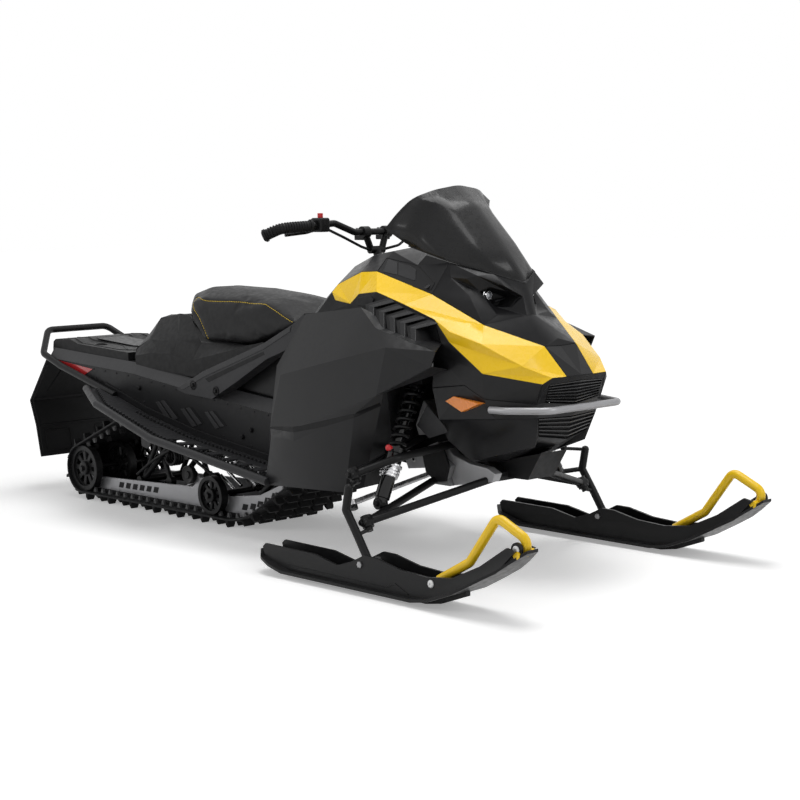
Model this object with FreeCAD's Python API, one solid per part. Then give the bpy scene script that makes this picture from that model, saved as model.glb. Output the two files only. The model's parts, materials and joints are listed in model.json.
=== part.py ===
import FreeCAD, Part
import math
import os

from FreeCAD import Vector

# A trail snowmobile. Millimetres, +X forward, +Y to the rider's left, +Z up from the floor.
# Lengths along the machine are counted from the ski bolts while it is modelled. Each piece is
# moved by origin_shift when it is written, so that the origin is on the floor under the middle.

# Overall sizes
ski_stance = 1077.0
ski_front_reach = 649.0
flap_rear_reach = 2372.0
origin_shift = (flap_rear_reach - ski_front_reach) / 2
cut_over = 2.0
part_gap = 0.3

# Body: the shares in the body tables are of these three sizes
body_length = 1000.0
body_half_width = 1000.0
body_height = 1000.0
panel_wall = 5.0
shield_wall = 3.0

# Half widths of the plates and boxes, as shares of the body's half width
half_width_shares = {
    "tunnel": 0.212, "deck": 0.185, "tank": 0.168, "core": 0.100, "tower": 0.245, "engine": 0.190,
    "strut in": 0.186, "strut out": 0.243, "casting": 0.134, "block": 0.152, "web": 0.175, "plate": 0.155,
    "reflector in": 0.200, "reflector out": 0.262, "skid": 0.060, "board": 0.255,
}
half = {name: share * body_half_width for name, share in half_width_shares.items()}
tunnel_half_width = half["tunnel"]
tunnel_wall = 4.0

# Track
track_room = 17.5
track_width = 2 * (tunnel_half_width - tunnel_wall - track_room)
track_pitch = 72.8
lug_height = 25.0
lug_root = 16.0
lug_tip = 8.0
belt_thickness = 7.0
belt_floor = lug_height + belt_thickness
rear_wheel_radius = 89.0
rear_wheel_share = -2.055
rear_wheel_x = rear_wheel_share * body_length
rear_wheel_z = belt_floor + rear_wheel_radius
bow_radius = 320.0
bow_share = -1.150
bow_x = bow_share * body_length
drive_radius = 84.0
drive_shares = (-0.745, 0.318)
drive_x = drive_shares[0] * body_length
drive_z = drive_shares[1] * body_height
top_wheel_radius = 62.0
top_wheel_shares = (-1.540, 0.372)
top_wheel_x = top_wheel_shares[0] * body_length
top_wheel_z = top_wheel_shares[1] * body_height

# Slide rails and the wheels inside the track
rail_thickness = 12.0
rail_rise = 100.0
rail_hole_radius = 8.0
wheel_width = 30.0
wheel_inset = 15.5
rail_gap = 11.0
wheel_offset = track_width / 2 - wheel_inset - wheel_width / 2
rail_offset = wheel_offset - wheel_width / 2 - rail_gap - rail_thickness / 2
wheel_spokes = 9
front_wheel_radius = 70.0
front_wheel_share = -1.252
front_wheel_x = front_wheel_share * body_length
front_wheel_z = belt_floor + front_wheel_radius
axle_radius = 10.0
drive_shaft_radius = 16.0
sprocket_offset = rail_offset * 0.55
susp_arm_radius = 14.0
susp_bar_radius = 11.0

# Tunnel and running boards
board_thickness = 5.0
board_tube_radius = 14.0
board_slot_width = 50.0
board_slot_length = 70.0
board_slots = 8
reflector_thickness = 2.2

# Rear bumper and flap
bumper_radius = 13.0
bumper_bend = 45.0
bumper_room = 3.0
flap_thickness = 8.0

# Front suspension and steering
ski_bolt_z = 76.0
ski_bolt_radius = 8.0
ski_half = ski_stance / 2
eye_radius = 18.0
eye_half = 18.0
kingpin_radius = 7.0
arm_radius = 12.0
leg_radius = 13.0
lug_thickness = 12.0
foot_half = 24.0
foot_radius = 17.0
tie_rod_radius = 9.0
ball_radius = 13.0
ball_half = 8.0
ball_pin_radius = 5.0
steer_arm_radius = 8.0
shock_radius = 21.0
spring_radius = 30.0
spring_wire = 5.0
spring_turns = 7

# Skis
ski_width = 145.0
sole_thickness = 9.0
keel_width = 18.0
ski_wall = 9.0
ski_wall_offset = 39.0
loop_radius = 14.0

# Handlebar
bar_radius = 11.0
grip_radius = 17.0
post_radius = 14.0
post_depth = 60.0
riser_rise = 88.0
riser_spacing = 48.0
clamp_half = 14.0

# Lamps, grilles and louvers
projector_radius = 14.0
projector_length = 46.0
pocket_depth = 52.0
pocket_inset_share = 0.14
grille_slats = 6
slat_proud = 7.0
rib_count = 5


def mirrored(shape):
    return shape.mirror(Vector(0, 0, 0), Vector(0, 1, 0))


def both(shape):
    return [shape, mirrored(shape)]


def left_of(p):
    return Vector(p.x, -p.y, p.z)


def fused(shapes):
    if len(shapes) == 1:
        return shapes[0]
    return shapes[0].multiFuse(shapes[1:]).removeSplitter()


def save(node, *shapes):
    solids = [solid for shape in shapes for solid in shape.Solids]
    body = solids[0] if len(solids) == 1 else Part.makeCompound(solids)
    body = body.copy()
    body.translate(Vector(origin_shift, 0, 0))
    body.exportStep(os.path.join("parts", node + ".step"))
    print(node, len(solids), all(s.isValid() for s in solids), round(sum(s.Volume for s in solids)))


def save_pair(node, shape):
    """The right-hand piece and its mirror image, each in its own node."""
    save(node + "_right", shape)
    save(node + "_left", mirrored(shape))


def place(x_share, y_share, z_share):
    """A point of the right half from its shares of the body's sizes."""
    return Vector(x_share * body_length, -y_share * body_half_width, z_share * body_height)


def side_plate(shares, y_from, y_to):
    """A side outline of (x, z) shares, extruded across the machine."""
    points = [place(x, 0, z) for x, z in shares]
    wire = Part.makePolygon(points + points[:1])
    face = Part.Face(wire)
    face.translate(Vector(0, y_from, 0))
    return face.extrude(Vector(0, y_to - y_from, 0))


def plan_plate(points, z_from, z_to):
    """An outline of points seen from above, extruded upwards."""
    flat = [Vector(p.x, p.y, z_from) for p in points]
    return Part.Face(Part.makePolygon(flat + flat[:1])).extrude(Vector(0, 0, z_to - z_from))


def rod(start, end, radius):
    return Part.makeCylinder(radius, start.distanceToPoint(end), start, end.sub(start))


def cross_rod(x, z, y_from, y_to, radius):
    return rod(Vector(x, y_from, z), Vector(x, y_to, z), radius)


def bent_wire(points, bend):
    """Straight runs joined by tangent arcs of one bend radius."""
    edges = []
    start = points[0]
    for before, corner, after in zip(points, points[1:], points[2:]):
        arriving = corner.sub(before).normalize()
        leaving = after.sub(corner).normalize()
        turn = arriving.getAngle(leaving)
        setback = bend * math.tan(turn / 2)
        arc_in = corner.sub(arriving * setback)
        arc_out = corner.add(leaving * setback)
        inward = leaving.sub(arriving).normalize()
        middle = corner.add(inward * (bend / math.cos(turn / 2) - bend))
        edges.append(Part.LineSegment(start, arc_in).toShape())
        edges.append(Part.Arc(arc_in, middle, arc_out).toShape())
        start = arc_out
    edges.append(Part.LineSegment(start, points[-1]).toShape())
    return Part.Wire(edges)


def bent_tube(points, radius, bend):
    path = bent_wire(points, bend)
    ring = Part.Wire(Part.makeCircle(radius, points[0], points[1].sub(points[0])))
    return path.makePipeShell([ring], True, False)


def triangle(a, b, c):
    return Part.Face(Part.makePolygon([a, b, c, a]))


def corner_triangles(facet):
    return [(facet[0], facet[k], facet[k + 1]) for k in range(1, len(facet) - 1)]


# Faceted mouldings: named points, facets that join them, and panels that group the facets.
# The whole skin has one outside net and one inside net, moved inward by the panel's wall
# along the mean direction of the facets round each point, so that neighbours meet edge to edge.

def facet_normal(points, facet):
    total = Vector(0, 0, 0)
    for a, b, c in corner_triangles(facet):
        total = total.add(points[b].sub(points[a]).cross(points[c].sub(points[a])))
    return total


def inner_net(points, facets, wall):
    sums = {name: Vector(0, 0, 0) for facet in facets for name in facet}
    for facet in facets:
        way = facet_normal(points, facet).normalize()
        for name in facet:
            sums[name] = sums[name].add(way)
    net = {}
    for name, way in sums.items():
        if points[name].y == 0:
            way = Vector(way.x, 0, way.z)
        net[name] = points[name].sub(Vector(way).normalize() * wall)
    return net


def moulding(points, inner, facets):
    """One closed solid from some facets, their inner copies and the rim between them."""
    edges = {}
    faces = []
    for facet in facets:
        for a, b, c in corner_triangles(facet):
            faces.append(triangle(points[a], points[b], points[c]))
            faces.append(triangle(inner[a], inner[c], inner[b]))
            for start, end in ((a, b), (b, c), (c, a)):
                if (end, start) in edges:
                    del edges[(end, start)]
                else:
                    edges[(start, end)] = True
    for start, end in edges:
        first, last = (start, end) if start < end else (end, start)
        faces.append(triangle(points[first], inner[first], inner[last]))
        faces.append(triangle(points[first], inner[last], points[last]))
    solid = Part.makeSolid(Part.makeShell(faces))
    if solid.Volume < 0:
        solid.reverse()
    return solid


def whole(points, facets):
    """The other half of a centre panel: mirrored points with a mark, in turned order."""
    names = {n: n if points[n].y == 0 else n + "'" for facet in facets for n in facet}
    for name, other in names.items():
        points[other] = Vector(points[name].x, -points[name].y, points[name].z)
    return facets + [[names[n] for n in facet[:1] + facet[:0:-1]] for facet in facets]


# Body skin: each point is a share of the body's length, half width and height
skin_shares = {
    "nose": (0.355, 0, 0.624),
    "nose in": (0.349, 0.0595, 0.623),
    "nose out": (0.329, 0.144, 0.607),
    "crease d": (0.347, 0.120, 0.624),
    "crease c": (0.278, 0.175, 0.657),
    "crease b": (0.216, 0.2025, 0.691),
    "crease a": (0.164, 0.225, 0.720),
    "crease end": (0.063, 0.258, 0.756),
    "strip low": (0.180, 0.240, 0.636),
    "strip kink": (0.064, 0.260, 0.725),
    "notch": (0.011, 0.270, 0.791),
    "louver top": (-0.114, 0.275, 0.832),
    "arch front": (-0.251, 0.262, 0.866),
    "arch rear": (-0.346, 0.250, 0.856),
    "tail low": (-0.377, 0.260, 0.824),
    "tail back": (-0.459, 0.250, 0.832),
    "tail tip": (-0.485, 0.240, 0.856),
    "tail top": (-0.478, 0.220, 0.881),
    "strip crest": (-0.381, 0.205, 0.922),
    "strip top": (-0.310, 0.205, 0.925),
    "strip a": (-0.070, 0.200, 0.860),
    "strip b": (0.113, 0.165, 0.771),
    "strip c": (0.272, 0.0705, 0.708),
    "cap front": (0.270, 0, 0.706),
    "cap ridge": (0.262, 0, 0.727),
    "cap lamp": (0.158, 0, 0.795),
    "lamp mid": (0.145, 0, 0.840),
    "lamp tail": (-0.038, 0.150, 0.911),
    "lamp rise": (0.021, 0.140, 0.911),
    "lamp brow": (0.053, 0.125, 0.918),
    "lamp top": (0.127, 0.085, 0.888),
    "lamp inner": (0.140, 0.020, 0.853),
    "lamp chin": (0.155, 0.020, 0.793),
    "lamp low": (0.121, 0.115, 0.798),
    "lamp outer": (0.042, 0.150, 0.855),
    "hole rear": (0.051, 0.115, 0.869),
    "hole top": (0.079, 0.100, 0.886),
    "hole front": (0.116, 0.055, 0.871),
    "hole inner": (0.125, 0.022, 0.851),
    "hole low": (0.119, 0.050, 0.819),
    "hole under": (0.090, 0.090, 0.820),
    "shield front": (0.130, 0, 0.892),
    "shield a": (0.087, 0.090, 0.920),
    "shield b": (-0.052, 0.140, 0.955),
    "shield c": (-0.150, 0.145, 0.975),
    "ridge a": (-0.183, 0.150, 0.945),
    "ridge b": (-0.314, 0.130, 0.985),
    "ridge c": (-0.410, 0.120, 0.972),
    "rear top": (-0.534, 0.095, 0.932),
    "tail foot": (-0.640, 0.160, 0.800),
    "top a": (-0.100, 0, 0.975),
    "top b": (-0.300, 0, 1.000),
    "top c": (-0.410, 0, 0.985),
    "top d": (-0.545, 0, 0.940),
    "top e": (-0.655, 0, 0.800),
    "louver front": (0.030, 0.262, 0.722),
    "louver mid": (-0.120, 0.268, 0.760),
    "louver rear": (-0.350, 0.268, 0.790),
    "console low": (-0.520, 0.290, 0.775),
    "console foot": (-0.610, 0.290, 0.700),
    "foot middle": (-0.690, 0, 0.690),
    "foot side": (-0.670, 0.170, 0.700),
    "side back": (0.009, 0.270, 0.700),
    "side rear": (-0.010, 0.262, 0.584),
    "side low": (0.179, 0.232, 0.560),
    "side split": (0.116, 0.250, 0.599),
    "grille side": (0.305, 0.144, 0.546),
    "band rear": (0.005, 0.250, 0.486),
    "band front": (0.210, 0.212, 0.500),
    "band nose": (0.298, 0.130, 0.502),
    "belly rear": (0.000, 0.205, 0.421),
    "belly side": (0.058, 0.165, 0.357),
    "belly front": (0.270, 0.112, 0.415),
    "belly nose": (0.279, 0.110, 0.445),
    "chin side": (0.112, 0.090, 0.353),
    "chin front": (0.178, 0.085, 0.380),
    "chin middle": (0.100, 0, 0.350),
    "chin nose": (0.190, 0, 0.382),
    "chin rear": (0.020, 0.110, 0.348),
    "lower grille": (0.296, 0, 0.429),
    "lower grille top": (0.312, 0, 0.498),
    "grille low": (0.327, 0, 0.537),
    "grille top": (0.333, 0.120, 0.604),
    "grille corner": (0.315, 0.118, 0.550),
    "grille crest": (0.349, 0, 0.610),
}
skin_panels = {
    "nose_panel": [
        ["nose", "nose in", "strip c", "cap front"],
    ],
    "side_stripe": [
        ["nose in", "crease d", "crease c", "strip c"],
        ["strip c", "crease c", "crease b", "crease a", "strip b"],
        ["strip b", "crease a", "crease end", "notch"],
        ["crease d", "nose out", "strip low", "crease c"],
        ["crease c", "strip low", "strip kink", "crease b"],
        ["crease b", "strip kink", "crease a"],
        ["crease a", "strip kink", "crease end"],
        ["crease end", "strip kink", "notch"],
        ["strip b", "notch", "louver top", "strip a"],
        ["strip a", "louver top", "arch front", "strip top"],
        ["strip top", "arch front", "arch rear", "strip crest"],
        ["strip crest", "arch rear", "tail low", "tail top"],
        ["tail low", "tail back", "tail tip", "tail top"],
    ],
    "lamp_cowl": [
        ["shield b", "shield a", "lamp brow"],
        ["shield b", "lamp brow", "lamp rise", "lamp tail"],
        ["shield b", "lamp tail", "strip a"],
        ["shield a", "lamp top", "lamp brow"],
        ["shield a", "shield front", "lamp inner", "lamp top"],
        ["shield front", "lamp mid", "lamp inner"],
        ["lamp mid", "cap lamp", "lamp chin", "lamp inner"],
        ["cap lamp", "cap ridge", "strip c", "lamp chin"],
        ["lamp chin", "strip c", "strip b", "lamp low"],
        ["lamp low", "strip b", "lamp outer"],
        ["lamp outer", "strip b", "strip a", "lamp tail"],
        ["cap ridge", "cap front", "strip c"],
        ["lamp tail", "lamp rise", "hole rear"],
        ["lamp rise", "lamp brow", "hole top", "hole rear"],
        ["lamp brow", "lamp top", "hole front", "hole top"],
        ["lamp top", "lamp inner", "hole inner", "hole front"],
        ["lamp inner", "lamp chin", "hole low", "hole inner"],
        ["lamp chin", "lamp low", "hole under", "hole low"],
        ["lamp low", "lamp outer", "hole rear", "hole under"],
        ["lamp outer", "lamp tail", "hole rear"],
    ],
    "console": [
        ["shield b", "strip a", "ridge a", "shield c"],
        ["strip a", "strip top", "ridge b", "ridge a"],
        ["strip top", "strip crest", "ridge c", "ridge b"],
        ["strip crest", "tail top", "rear top", "ridge c"],
        ["tail top", "tail tip", "tail foot", "rear top"],
        ["shield front", "shield a", "top a"],
        ["shield a", "shield b", "shield c", "top a"],
        ["shield c", "ridge a", "top b", "top a"],
        ["ridge a", "ridge b", "top b"],
        ["ridge b", "ridge c", "top c", "top b"],
        ["ridge c", "rear top", "top d", "top c"],
        ["rear top", "tail foot", "top e", "top d"],
        ["tail foot", "foot side", "foot middle", "top e"],
    ],
    "louver_panel": [
        ["notch", "louver front", "louver mid", "louver top"],
        ["louver top", "louver mid", "arch front"],
        ["arch front", "louver mid", "louver rear", "arch rear"],
        ["arch rear", "louver rear", "tail low"],
        ["tail low", "louver rear", "console low", "tail back"],
        ["tail back", "console low", "tail tip"],
        ["tail tip", "console low", "tail foot"],
        ["tail foot", "console low", "console foot", "foot side"],
    ],
    "nose_side": [
        ["nose out", "grille side", "side low", "strip low"],
        ["strip low", "side low", "side split"],
        ["strip low", "side split", "side back", "strip kink"],
        ["side split", "side rear", "side back"],
        ["strip kink", "side back", "louver front", "notch"],
    ],
    "nose_band": [
        ["grille side", "band nose", "band front", "side low"],
        ["side low", "band front", "side split"],
        ["side split", "band front", "band rear", "side rear"],
        ["grille corner", "grille low", "lower grille top", "band nose"],
        ["grille side", "grille corner", "band nose"],
    ],
    "grille_frame": [
        ["nose", "grille crest", "grille top", "nose in"],
        ["crease d", "nose in", "grille top", "grille side", "nose out"],
        ["grille top", "grille corner", "grille side"],
    ],
    "belly_nose": [
        ["band front", "belly front", "belly side"],
        ["band front", "belly side", "belly rear", "band rear"],
        ["band nose", "belly nose", "belly front", "band front"],
        ["belly nose", "lower grille", "chin nose", "chin front"],
        ["belly nose", "chin front", "belly front"],
        ["belly front", "chin front", "chin side", "belly side"],
        ["chin front", "chin nose", "chin middle", "chin side"],
        ["belly side", "chin side", "chin rear", "belly rear"],
    ],
    "lower_grille": [
        ["band nose", "lower grille top", "lower grille", "belly nose"],
    ],
    "upper_grille": [
        ["grille top", "grille crest", "grille low", "grille corner"],
    ],
}
centre_panels = ["nose_panel", "lamp_cowl", "console", "nose_band", "grille_frame", "belly_nose",
                 "lower_grille", "upper_grille"]

# Side panels
side_shares = {
    "top rear": (-0.519, 0.330, 0.792),
    "top": (-0.230, 0.352, 0.825),
    "peak": (-0.137, 0.378, 0.767),
    "shoulder": (-0.020, 0.380, 0.739),
    "tip": (0.104, 0.362, 0.707),
    "tip low": (0.081, 0.360, 0.658),
    "edge front": (-0.099, 0.415, 0.566),
    "edge mid": (-0.478, 0.424, 0.436),
    "edge rear": (-0.606, 0.415, 0.431),
    "rear": (-0.590, 0.395, 0.627),
    "rear in": (-0.560, 0.405, 0.600),
    "hub": (-0.300, 0.412, 0.660),
    "crease": (-0.072, 0.398, 0.712),
    "back": (-0.625, 0.405, 0.330),
    "foot rear": (-0.642, 0.412, 0.236),
    "foot front": (-0.262, 0.402, 0.250),
    "patch rear": (-0.590, 0.426, 0.395),
    "patch front": (-0.475, 0.428, 0.395),
    "well foot": (-0.235, 0.350, 0.262),
    "well inner": (-0.215, 0.225, 0.275),
    "well top": (-0.130, 0.345, 0.600),
    "well inner top": (-0.190, 0.225, 0.610),
    "well edge": (-0.215, 0.400, 0.500),
    "well roof": (0.060, 0.270, 0.640),
    "flange rear": (-0.520, 0.290, 0.775),
    "flange mid": (-0.350, 0.268, 0.790),
    "flange front": (-0.120, 0.268, 0.760),
    "flange nose": (0.030, 0.262, 0.722),
}
side_facets = {
    "side_panel": [
        ["top rear", "rear", "rear in", "hub"],
        ["top rear", "hub", "top"],
        ["rear", "edge rear", "rear in"],
        ["rear in", "edge rear", "edge mid", "hub"],
        ["hub", "edge mid", "edge front", "crease"],
        ["hub", "crease", "peak", "top"],
        ["crease", "shoulder", "peak"],
        ["crease", "tip", "shoulder"],
        ["crease", "tip low", "tip"],
        ["crease", "edge front", "tip low"],
        ["top rear", "top", "flange mid", "flange rear"],
        ["top", "peak", "flange front", "flange mid"],
        ["peak", "shoulder", "flange nose", "flange front"],
        ["shoulder", "tip", "flange nose"],
    ],
    "lower_panel": [
        ["edge rear", "patch rear", "patch front", "edge mid"],
        ["edge rear", "back", "patch rear"],
        ["patch rear", "back", "foot rear", "patch front"],
        ["patch front", "foot rear", "foot front", "well edge"],
        ["edge mid", "patch front", "well edge", "edge front"],
        ["well edge", "foot front", "well foot", "well top"],
        ["edge front", "well edge", "well top"],
        ["well top", "well foot", "well inner", "well inner top"],
        ["edge front", "well top", "well roof", "tip low"],
        ["well top", "well inner top", "well roof"],
    ],
}

# Windshield
shield_shares = {
    "front": (0.133, 0, 0.893),
    "lower a": (0.088, 0.095, 0.926),
    "lower b": (-0.055, 0.150, 0.966),
    "lower c": (-0.197, 0.178, 1.010),
    "tip": (-0.253, 0.225, 1.063),
    "ridge low": (-0.065, 0.140, 0.985),
    "ridge": (-0.150, 0.158, 1.060),
    "ridge top": (-0.160, 0.138, 1.126),
    "rear up": (-0.226, 0.195, 1.113),
    "rear top": (-0.190, 0.165, 1.157),
    "crest": (-0.150, 0, 1.196),
    "crest side": (-0.157, 0.100, 1.182),
    "middle": (0.030, 0, 1.020),
    "middle side": (0.010, 0.095, 1.015),
    "upper": (-0.070, 0, 1.128),
    "upper side": (-0.085, 0.095, 1.105),
}
shield_facets = [
    ["front", "lower a", "middle side", "middle"],
    ["lower a", "lower b", "ridge low", "middle side"],
    ["middle", "middle side", "upper side", "upper"],
    ["middle side", "ridge low", "ridge", "upper side"],
    ["upper side", "ridge", "ridge top"],
    ["upper", "upper side", "crest side", "crest"],
    ["upper side", "ridge top", "rear top", "crest side"],
    ["ridge low", "lower b", "lower c", "ridge"],
    ["ridge", "lower c", "tip", "rear up"],
    ["ridge", "rear up", "rear top", "ridge top"],
]


# Cooling ribs under the side stripe: the outer corners of the rearmost rib and the step to the next
rib_shares = [
    (-0.186, 0.268, 0.854), (-0.158, 0.274, 0.840), (-0.207, 0.318, 0.824), (-0.170, 0.353, 0.775),
    (-0.202, 0.353, 0.783), (-0.247, 0.318, 0.831),
]
rib_step_share = (0.046, 0, -0.0148)
rib_root_share = 0.262


def make_body():
    """All body panels, by node, from the shared nets."""
    points = {name: place(*shares) for name, shares in skin_shares.items()}
    facets = []
    grouped = {}
    for node, panel in skin_panels.items():
        grouped[node] = whole(points, panel) if node in centre_panels else panel
        facets += whole(points, panel)
    inner = inner_net(points, facets, panel_wall)
    made = {node: moulding(points, inner, panel) for node, panel in grouped.items()}
    sides = {name: place(*shares) for name, shares in side_shares.items()}
    side_all = side_facets["side_panel"] + side_facets["lower_panel"]
    side_inner = inner_net(sides, side_all, panel_wall)
    for node, panel in side_facets.items():
        made[node] = moulding(sides, side_inner, panel)
    shield = {name: place(*shares) for name, shares in shield_shares.items()}
    shield_all = whole(shield, shield_facets)
    shield_inner = inner_net(shield, shield_all, shield_wall)
    made["windshield"] = moulding(shield, shield_inner, shield_all)
    made["headlamp"] = make_headlamp(points).cut(made["lamp_cowl"])
    upper_corners = ["grille top", "grille crest", "grille low", "grille corner"]
    lower_corners = ["band nose", "lower grille top", "lower grille", "belly nose"]
    made["upper_grille"] = slatted(made["upper_grille"], points, upper_corners, grille_slats)
    made["lower_grille"] = slatted(made["lower_grille"], points, lower_corners, grille_slats // 2)
    ribs = [make_rib(k, made) for k in range(rib_count)]
    made["louver_panel"] = fused([made["louver_panel"]] + ribs)
    return made


def slatted(panel, points, corners, count):
    """A grille panel with proud blades between two of its edges, across both halves."""
    side_high, mid_high, mid_low, side_low = [points[name] for name in corners]
    blades = []
    for k in range(count):
        net = {}
        for level, share in (("high", (k + 0.2) / count), ("low", (k + 0.65) / count)):
            net["side " + level] = side_high + (side_low - side_high) * share
            net["mid " + level] = mid_high + (mid_low - mid_high) * share
            net["side " + level] += (net["mid " + level] - net["side " + level]) * 0.08
        facets = whole(net, [["side high", "mid high", "mid low", "side low"]])
        proud = inner_net(net, facets, -slat_proud)
        blades.append(moulding(proud, inner_net(net, facets, panel_wall / 2), facets))
    return fused([panel] + blades)


def make_headlamp(points):
    """A pocket behind the opening in the cowl, with the lamp's barrel on its back wall."""
    names = ["hole rear", "hole top", "hole front", "hole inner", "hole low", "hole under"]
    rim = {name: points[name] for name in names}
    middle = Vector(0, 0, 0)
    for corner in rim.values():
        middle = middle + corner * (1 / len(rim))
    ahead = Vector(1, 0, 0)
    back = {name: p - ahead * pocket_depth for name, p in rim.items()}
    inside = {name: p + (middle - p) * pocket_inset_share + ahead * cut_over for name, p in rim.items()}
    floor = {name: p - ahead * (pocket_depth + cut_over - panel_wall) for name, p in inside.items()}
    dish = moulding(rim, back, [names]).cut(moulding(inside, floor, [names]))
    foot = middle - ahead * (pocket_depth - panel_wall / 2)
    barrel = rod(foot, foot + ahead * projector_length, projector_radius)
    flange = rod(foot + ahead * (projector_length * 0.45), foot + ahead * (projector_length * 0.6),
                 projector_radius * 1.15)
    return fused([dish, barrel, flange])


def make_rib(k, made):
    """One bent blade from the stripe's edge down to the side panel, rooted in the louver panel."""
    net = {}
    root = {}
    names = ["a", "b", "c", "d", "e", "f"]
    step = place(*rib_step_share)
    for name, shares in zip(names, rib_shares):
        net[name] = place(*shares) + step * k
        root[name] = Vector(net[name].x, -rib_root_share * body_half_width, net[name].z)
    blade = moulding(net, root, [["a", "b", "c", "f"], ["f", "c", "d", "e"]])
    blade = blade.cut([made["side_panel"], made["side_stripe"]])
    return max(blade.Solids, key=lambda s: s.Volume)


# Tunnel: stations of the right half, as shares
tunnel_shares = [
    (-2.215, 0.588, 0.549, 0.534),
    (-1.644, 0.559, 0.520, 0.404),
    (-1.295, 0.520, 0.480, 0.329),
    (-0.905, 0.482, 0.440, 0.276),
    (-0.580, 0.455, 0.414, 0.238),
]
tunnel_top_share = 0.186
deck_shares = [
    (-2.226, 0.588), (-2.222, 0.612), (-2.206, 0.622), (-2.105, 0.626), (-2.050, 0.610), (-1.716, 0.594),
]
deck_foot_shares = [(-1.716, 0.520), (-2.226, 0.520)]
socket_radius = 16.0
socket_depth = 20.0
socket_share = (-1.990, 0.118, 0.6075)
flap_shares = [(-2.232, 0.552), (-2.272, 0.500), (-2.372, 0.369), (-2.334, 0.273), (-2.305, 0.146)]
step_shares = {
    0.192: [(-1.654, 0.550), (-1.662, 0.584), (-1.560, 0.602), (-1.430, 0.600), (-1.310, 0.588),
            (-0.906, 0.674), (-0.890, 0.664), (-1.311, 0.528)],
    0.165: [(-1.690, 0.552), (-1.690, 0.610), (-1.600, 0.650), (-1.430, 0.652), (-1.290, 0.652),
            (-1.000, 0.655), (-0.930, 0.640), (-1.300, 0.518)],
    0.100: [(-1.706, 0.560), (-1.706, 0.650), (-1.618, 0.724), (-1.500, 0.744), (-1.439, 0.741),
            (-1.390, 0.660), (-1.270, 0.650), (-1.270, 0.512)],
    0.000: [(-1.710, 0.562), (-1.756, 0.708), (-1.690, 0.728), (-1.600, 0.733), (-1.565, 0.729),
            (-1.480, 0.650), (-1.270, 0.640), (-1.270, 0.512)],
}
seat_shares = {
    0.172: [(-1.268, 0.664), (-1.332, 0.730), (-1.338, 0.756), (-1.275, 0.770), (-1.130, 0.775),
            (-0.985, 0.762), (-0.850, 0.716), (-0.900, 0.692), (-1.000, 0.668)],
    0.153: [(-1.258, 0.656), (-1.350, 0.752), (-1.352, 0.792), (-1.290, 0.812), (-1.130, 0.813),
            (-0.941, 0.803), (-0.783, 0.744), (-0.830, 0.706), (-1.006, 0.657)],
    0.060: [(-1.300, 0.650), (-1.492, 0.744), (-1.459, 0.816), (-1.353, 0.845), (-1.130, 0.837),
            (-0.902, 0.811), (-0.750, 0.745), (-0.820, 0.690), (-1.006, 0.652)],
}
tank_shares = [
    (-1.262, 0.647), (-0.800, 0.660), (-0.735, 0.700), (-0.700, 0.684), (-0.600, 0.650), (-0.580, 0.455),
    (-0.905, 0.482), (-1.262, 0.5167),
]
strut_shares = [
    (-1.343, 0.487), (-1.184, 0.560), (-0.838, 0.678), (-0.690, 0.746), (-0.628, 0.785), (-0.615, 0.740),
    (-0.700, 0.668), (-0.829, 0.623), (-0.993, 0.536), (-1.134, 0.466), (-1.290, 0.474),
]
board_shares = [
    (-1.829, 0.300, 0.461), (-1.630, 0.392, 0.424), (-1.260, 0.420, 0.333), (-0.620, 0.420, 0.248),
]
board_inner_shares = [
    (-1.829, 0.216, 0.452), (-1.560, 0.216, 0.378), (-1.260, 0.216, 0.318), (-0.620, 0.216, 0.240),
]
bumper_shares = [
    (-1.748, 0.228, 0.435), (-2.108, 0.228, 0.524), (-2.237, 0.224, 0.566), (-2.330, 0.140, 0.649),
]
rear_reflector_shares = [(-2.167, 0.545), (-1.913, 0.522), (-1.969, 0.497)]
core_shares = [
    (-0.270, 0.322), (-0.270, 0.630), (-0.080, 0.630), (0.010, 0.480), (0.060, 0.345), (0.108, 0.314),
    (0.108, 0.288), (0.040, 0.282), (-0.040, 0.262), (-0.110, 0.262), (-0.110, 0.322),
]
skid_shares = [
    (0.030, 0.350), (0.051, 0.339), (0.248, 0.384), (0.192, 0.296), (0.078, 0.295), (0.030, 0.300),
]
block_shares = [
    (-0.174, 0.365), (-0.140, 0.384), (-0.104, 0.397), (-0.083, 0.347), (-0.045, 0.327), (-0.062, 0.286),
    (-0.051, 0.262), (-0.135, 0.262), (-0.135, 0.330),
]
casting_shares = [
    (-0.104, 0.397), (-0.050, 0.358), (0.020, 0.338), (0.092, 0.331), (0.125, 0.316), (0.113, 0.290),
    (0.060, 0.282), (-0.051, 0.262), (-0.062, 0.286), (-0.045, 0.327), (-0.083, 0.347),
]
web_shares = [(-0.140, 0.528), (-0.041, 0.450), (-0.036, 0.434), (-0.164, 0.416), (-0.177, 0.448)]
plate_shares = [
    (-0.257, 0.345), (-0.153, 0.372), (-0.136, 0.384), (-0.136, 0.330), (-0.142, 0.312),
    (-0.235, 0.300),
]
tower_shares = [(-0.185, 0.588), (-0.200, 0.630), (-0.080, 0.630), (-0.075, 0.588)]
engine_shares = [(-0.580, 0.300), (-0.580, 0.560), (-0.480, 0.640), (-0.270, 0.640), (-0.270, 0.330)]
front_bumper_shares = [
    (0.196, 0.228, 0.528), (0.250, 0.222, 0.528), (0.372, 0.160, 0.531),
]
front_bumper_radius = 11.0
reflector_shares = [(0.042, 0.546), (0.077, 0.563), (0.184, 0.548), (0.110, 0.518)]


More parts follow.
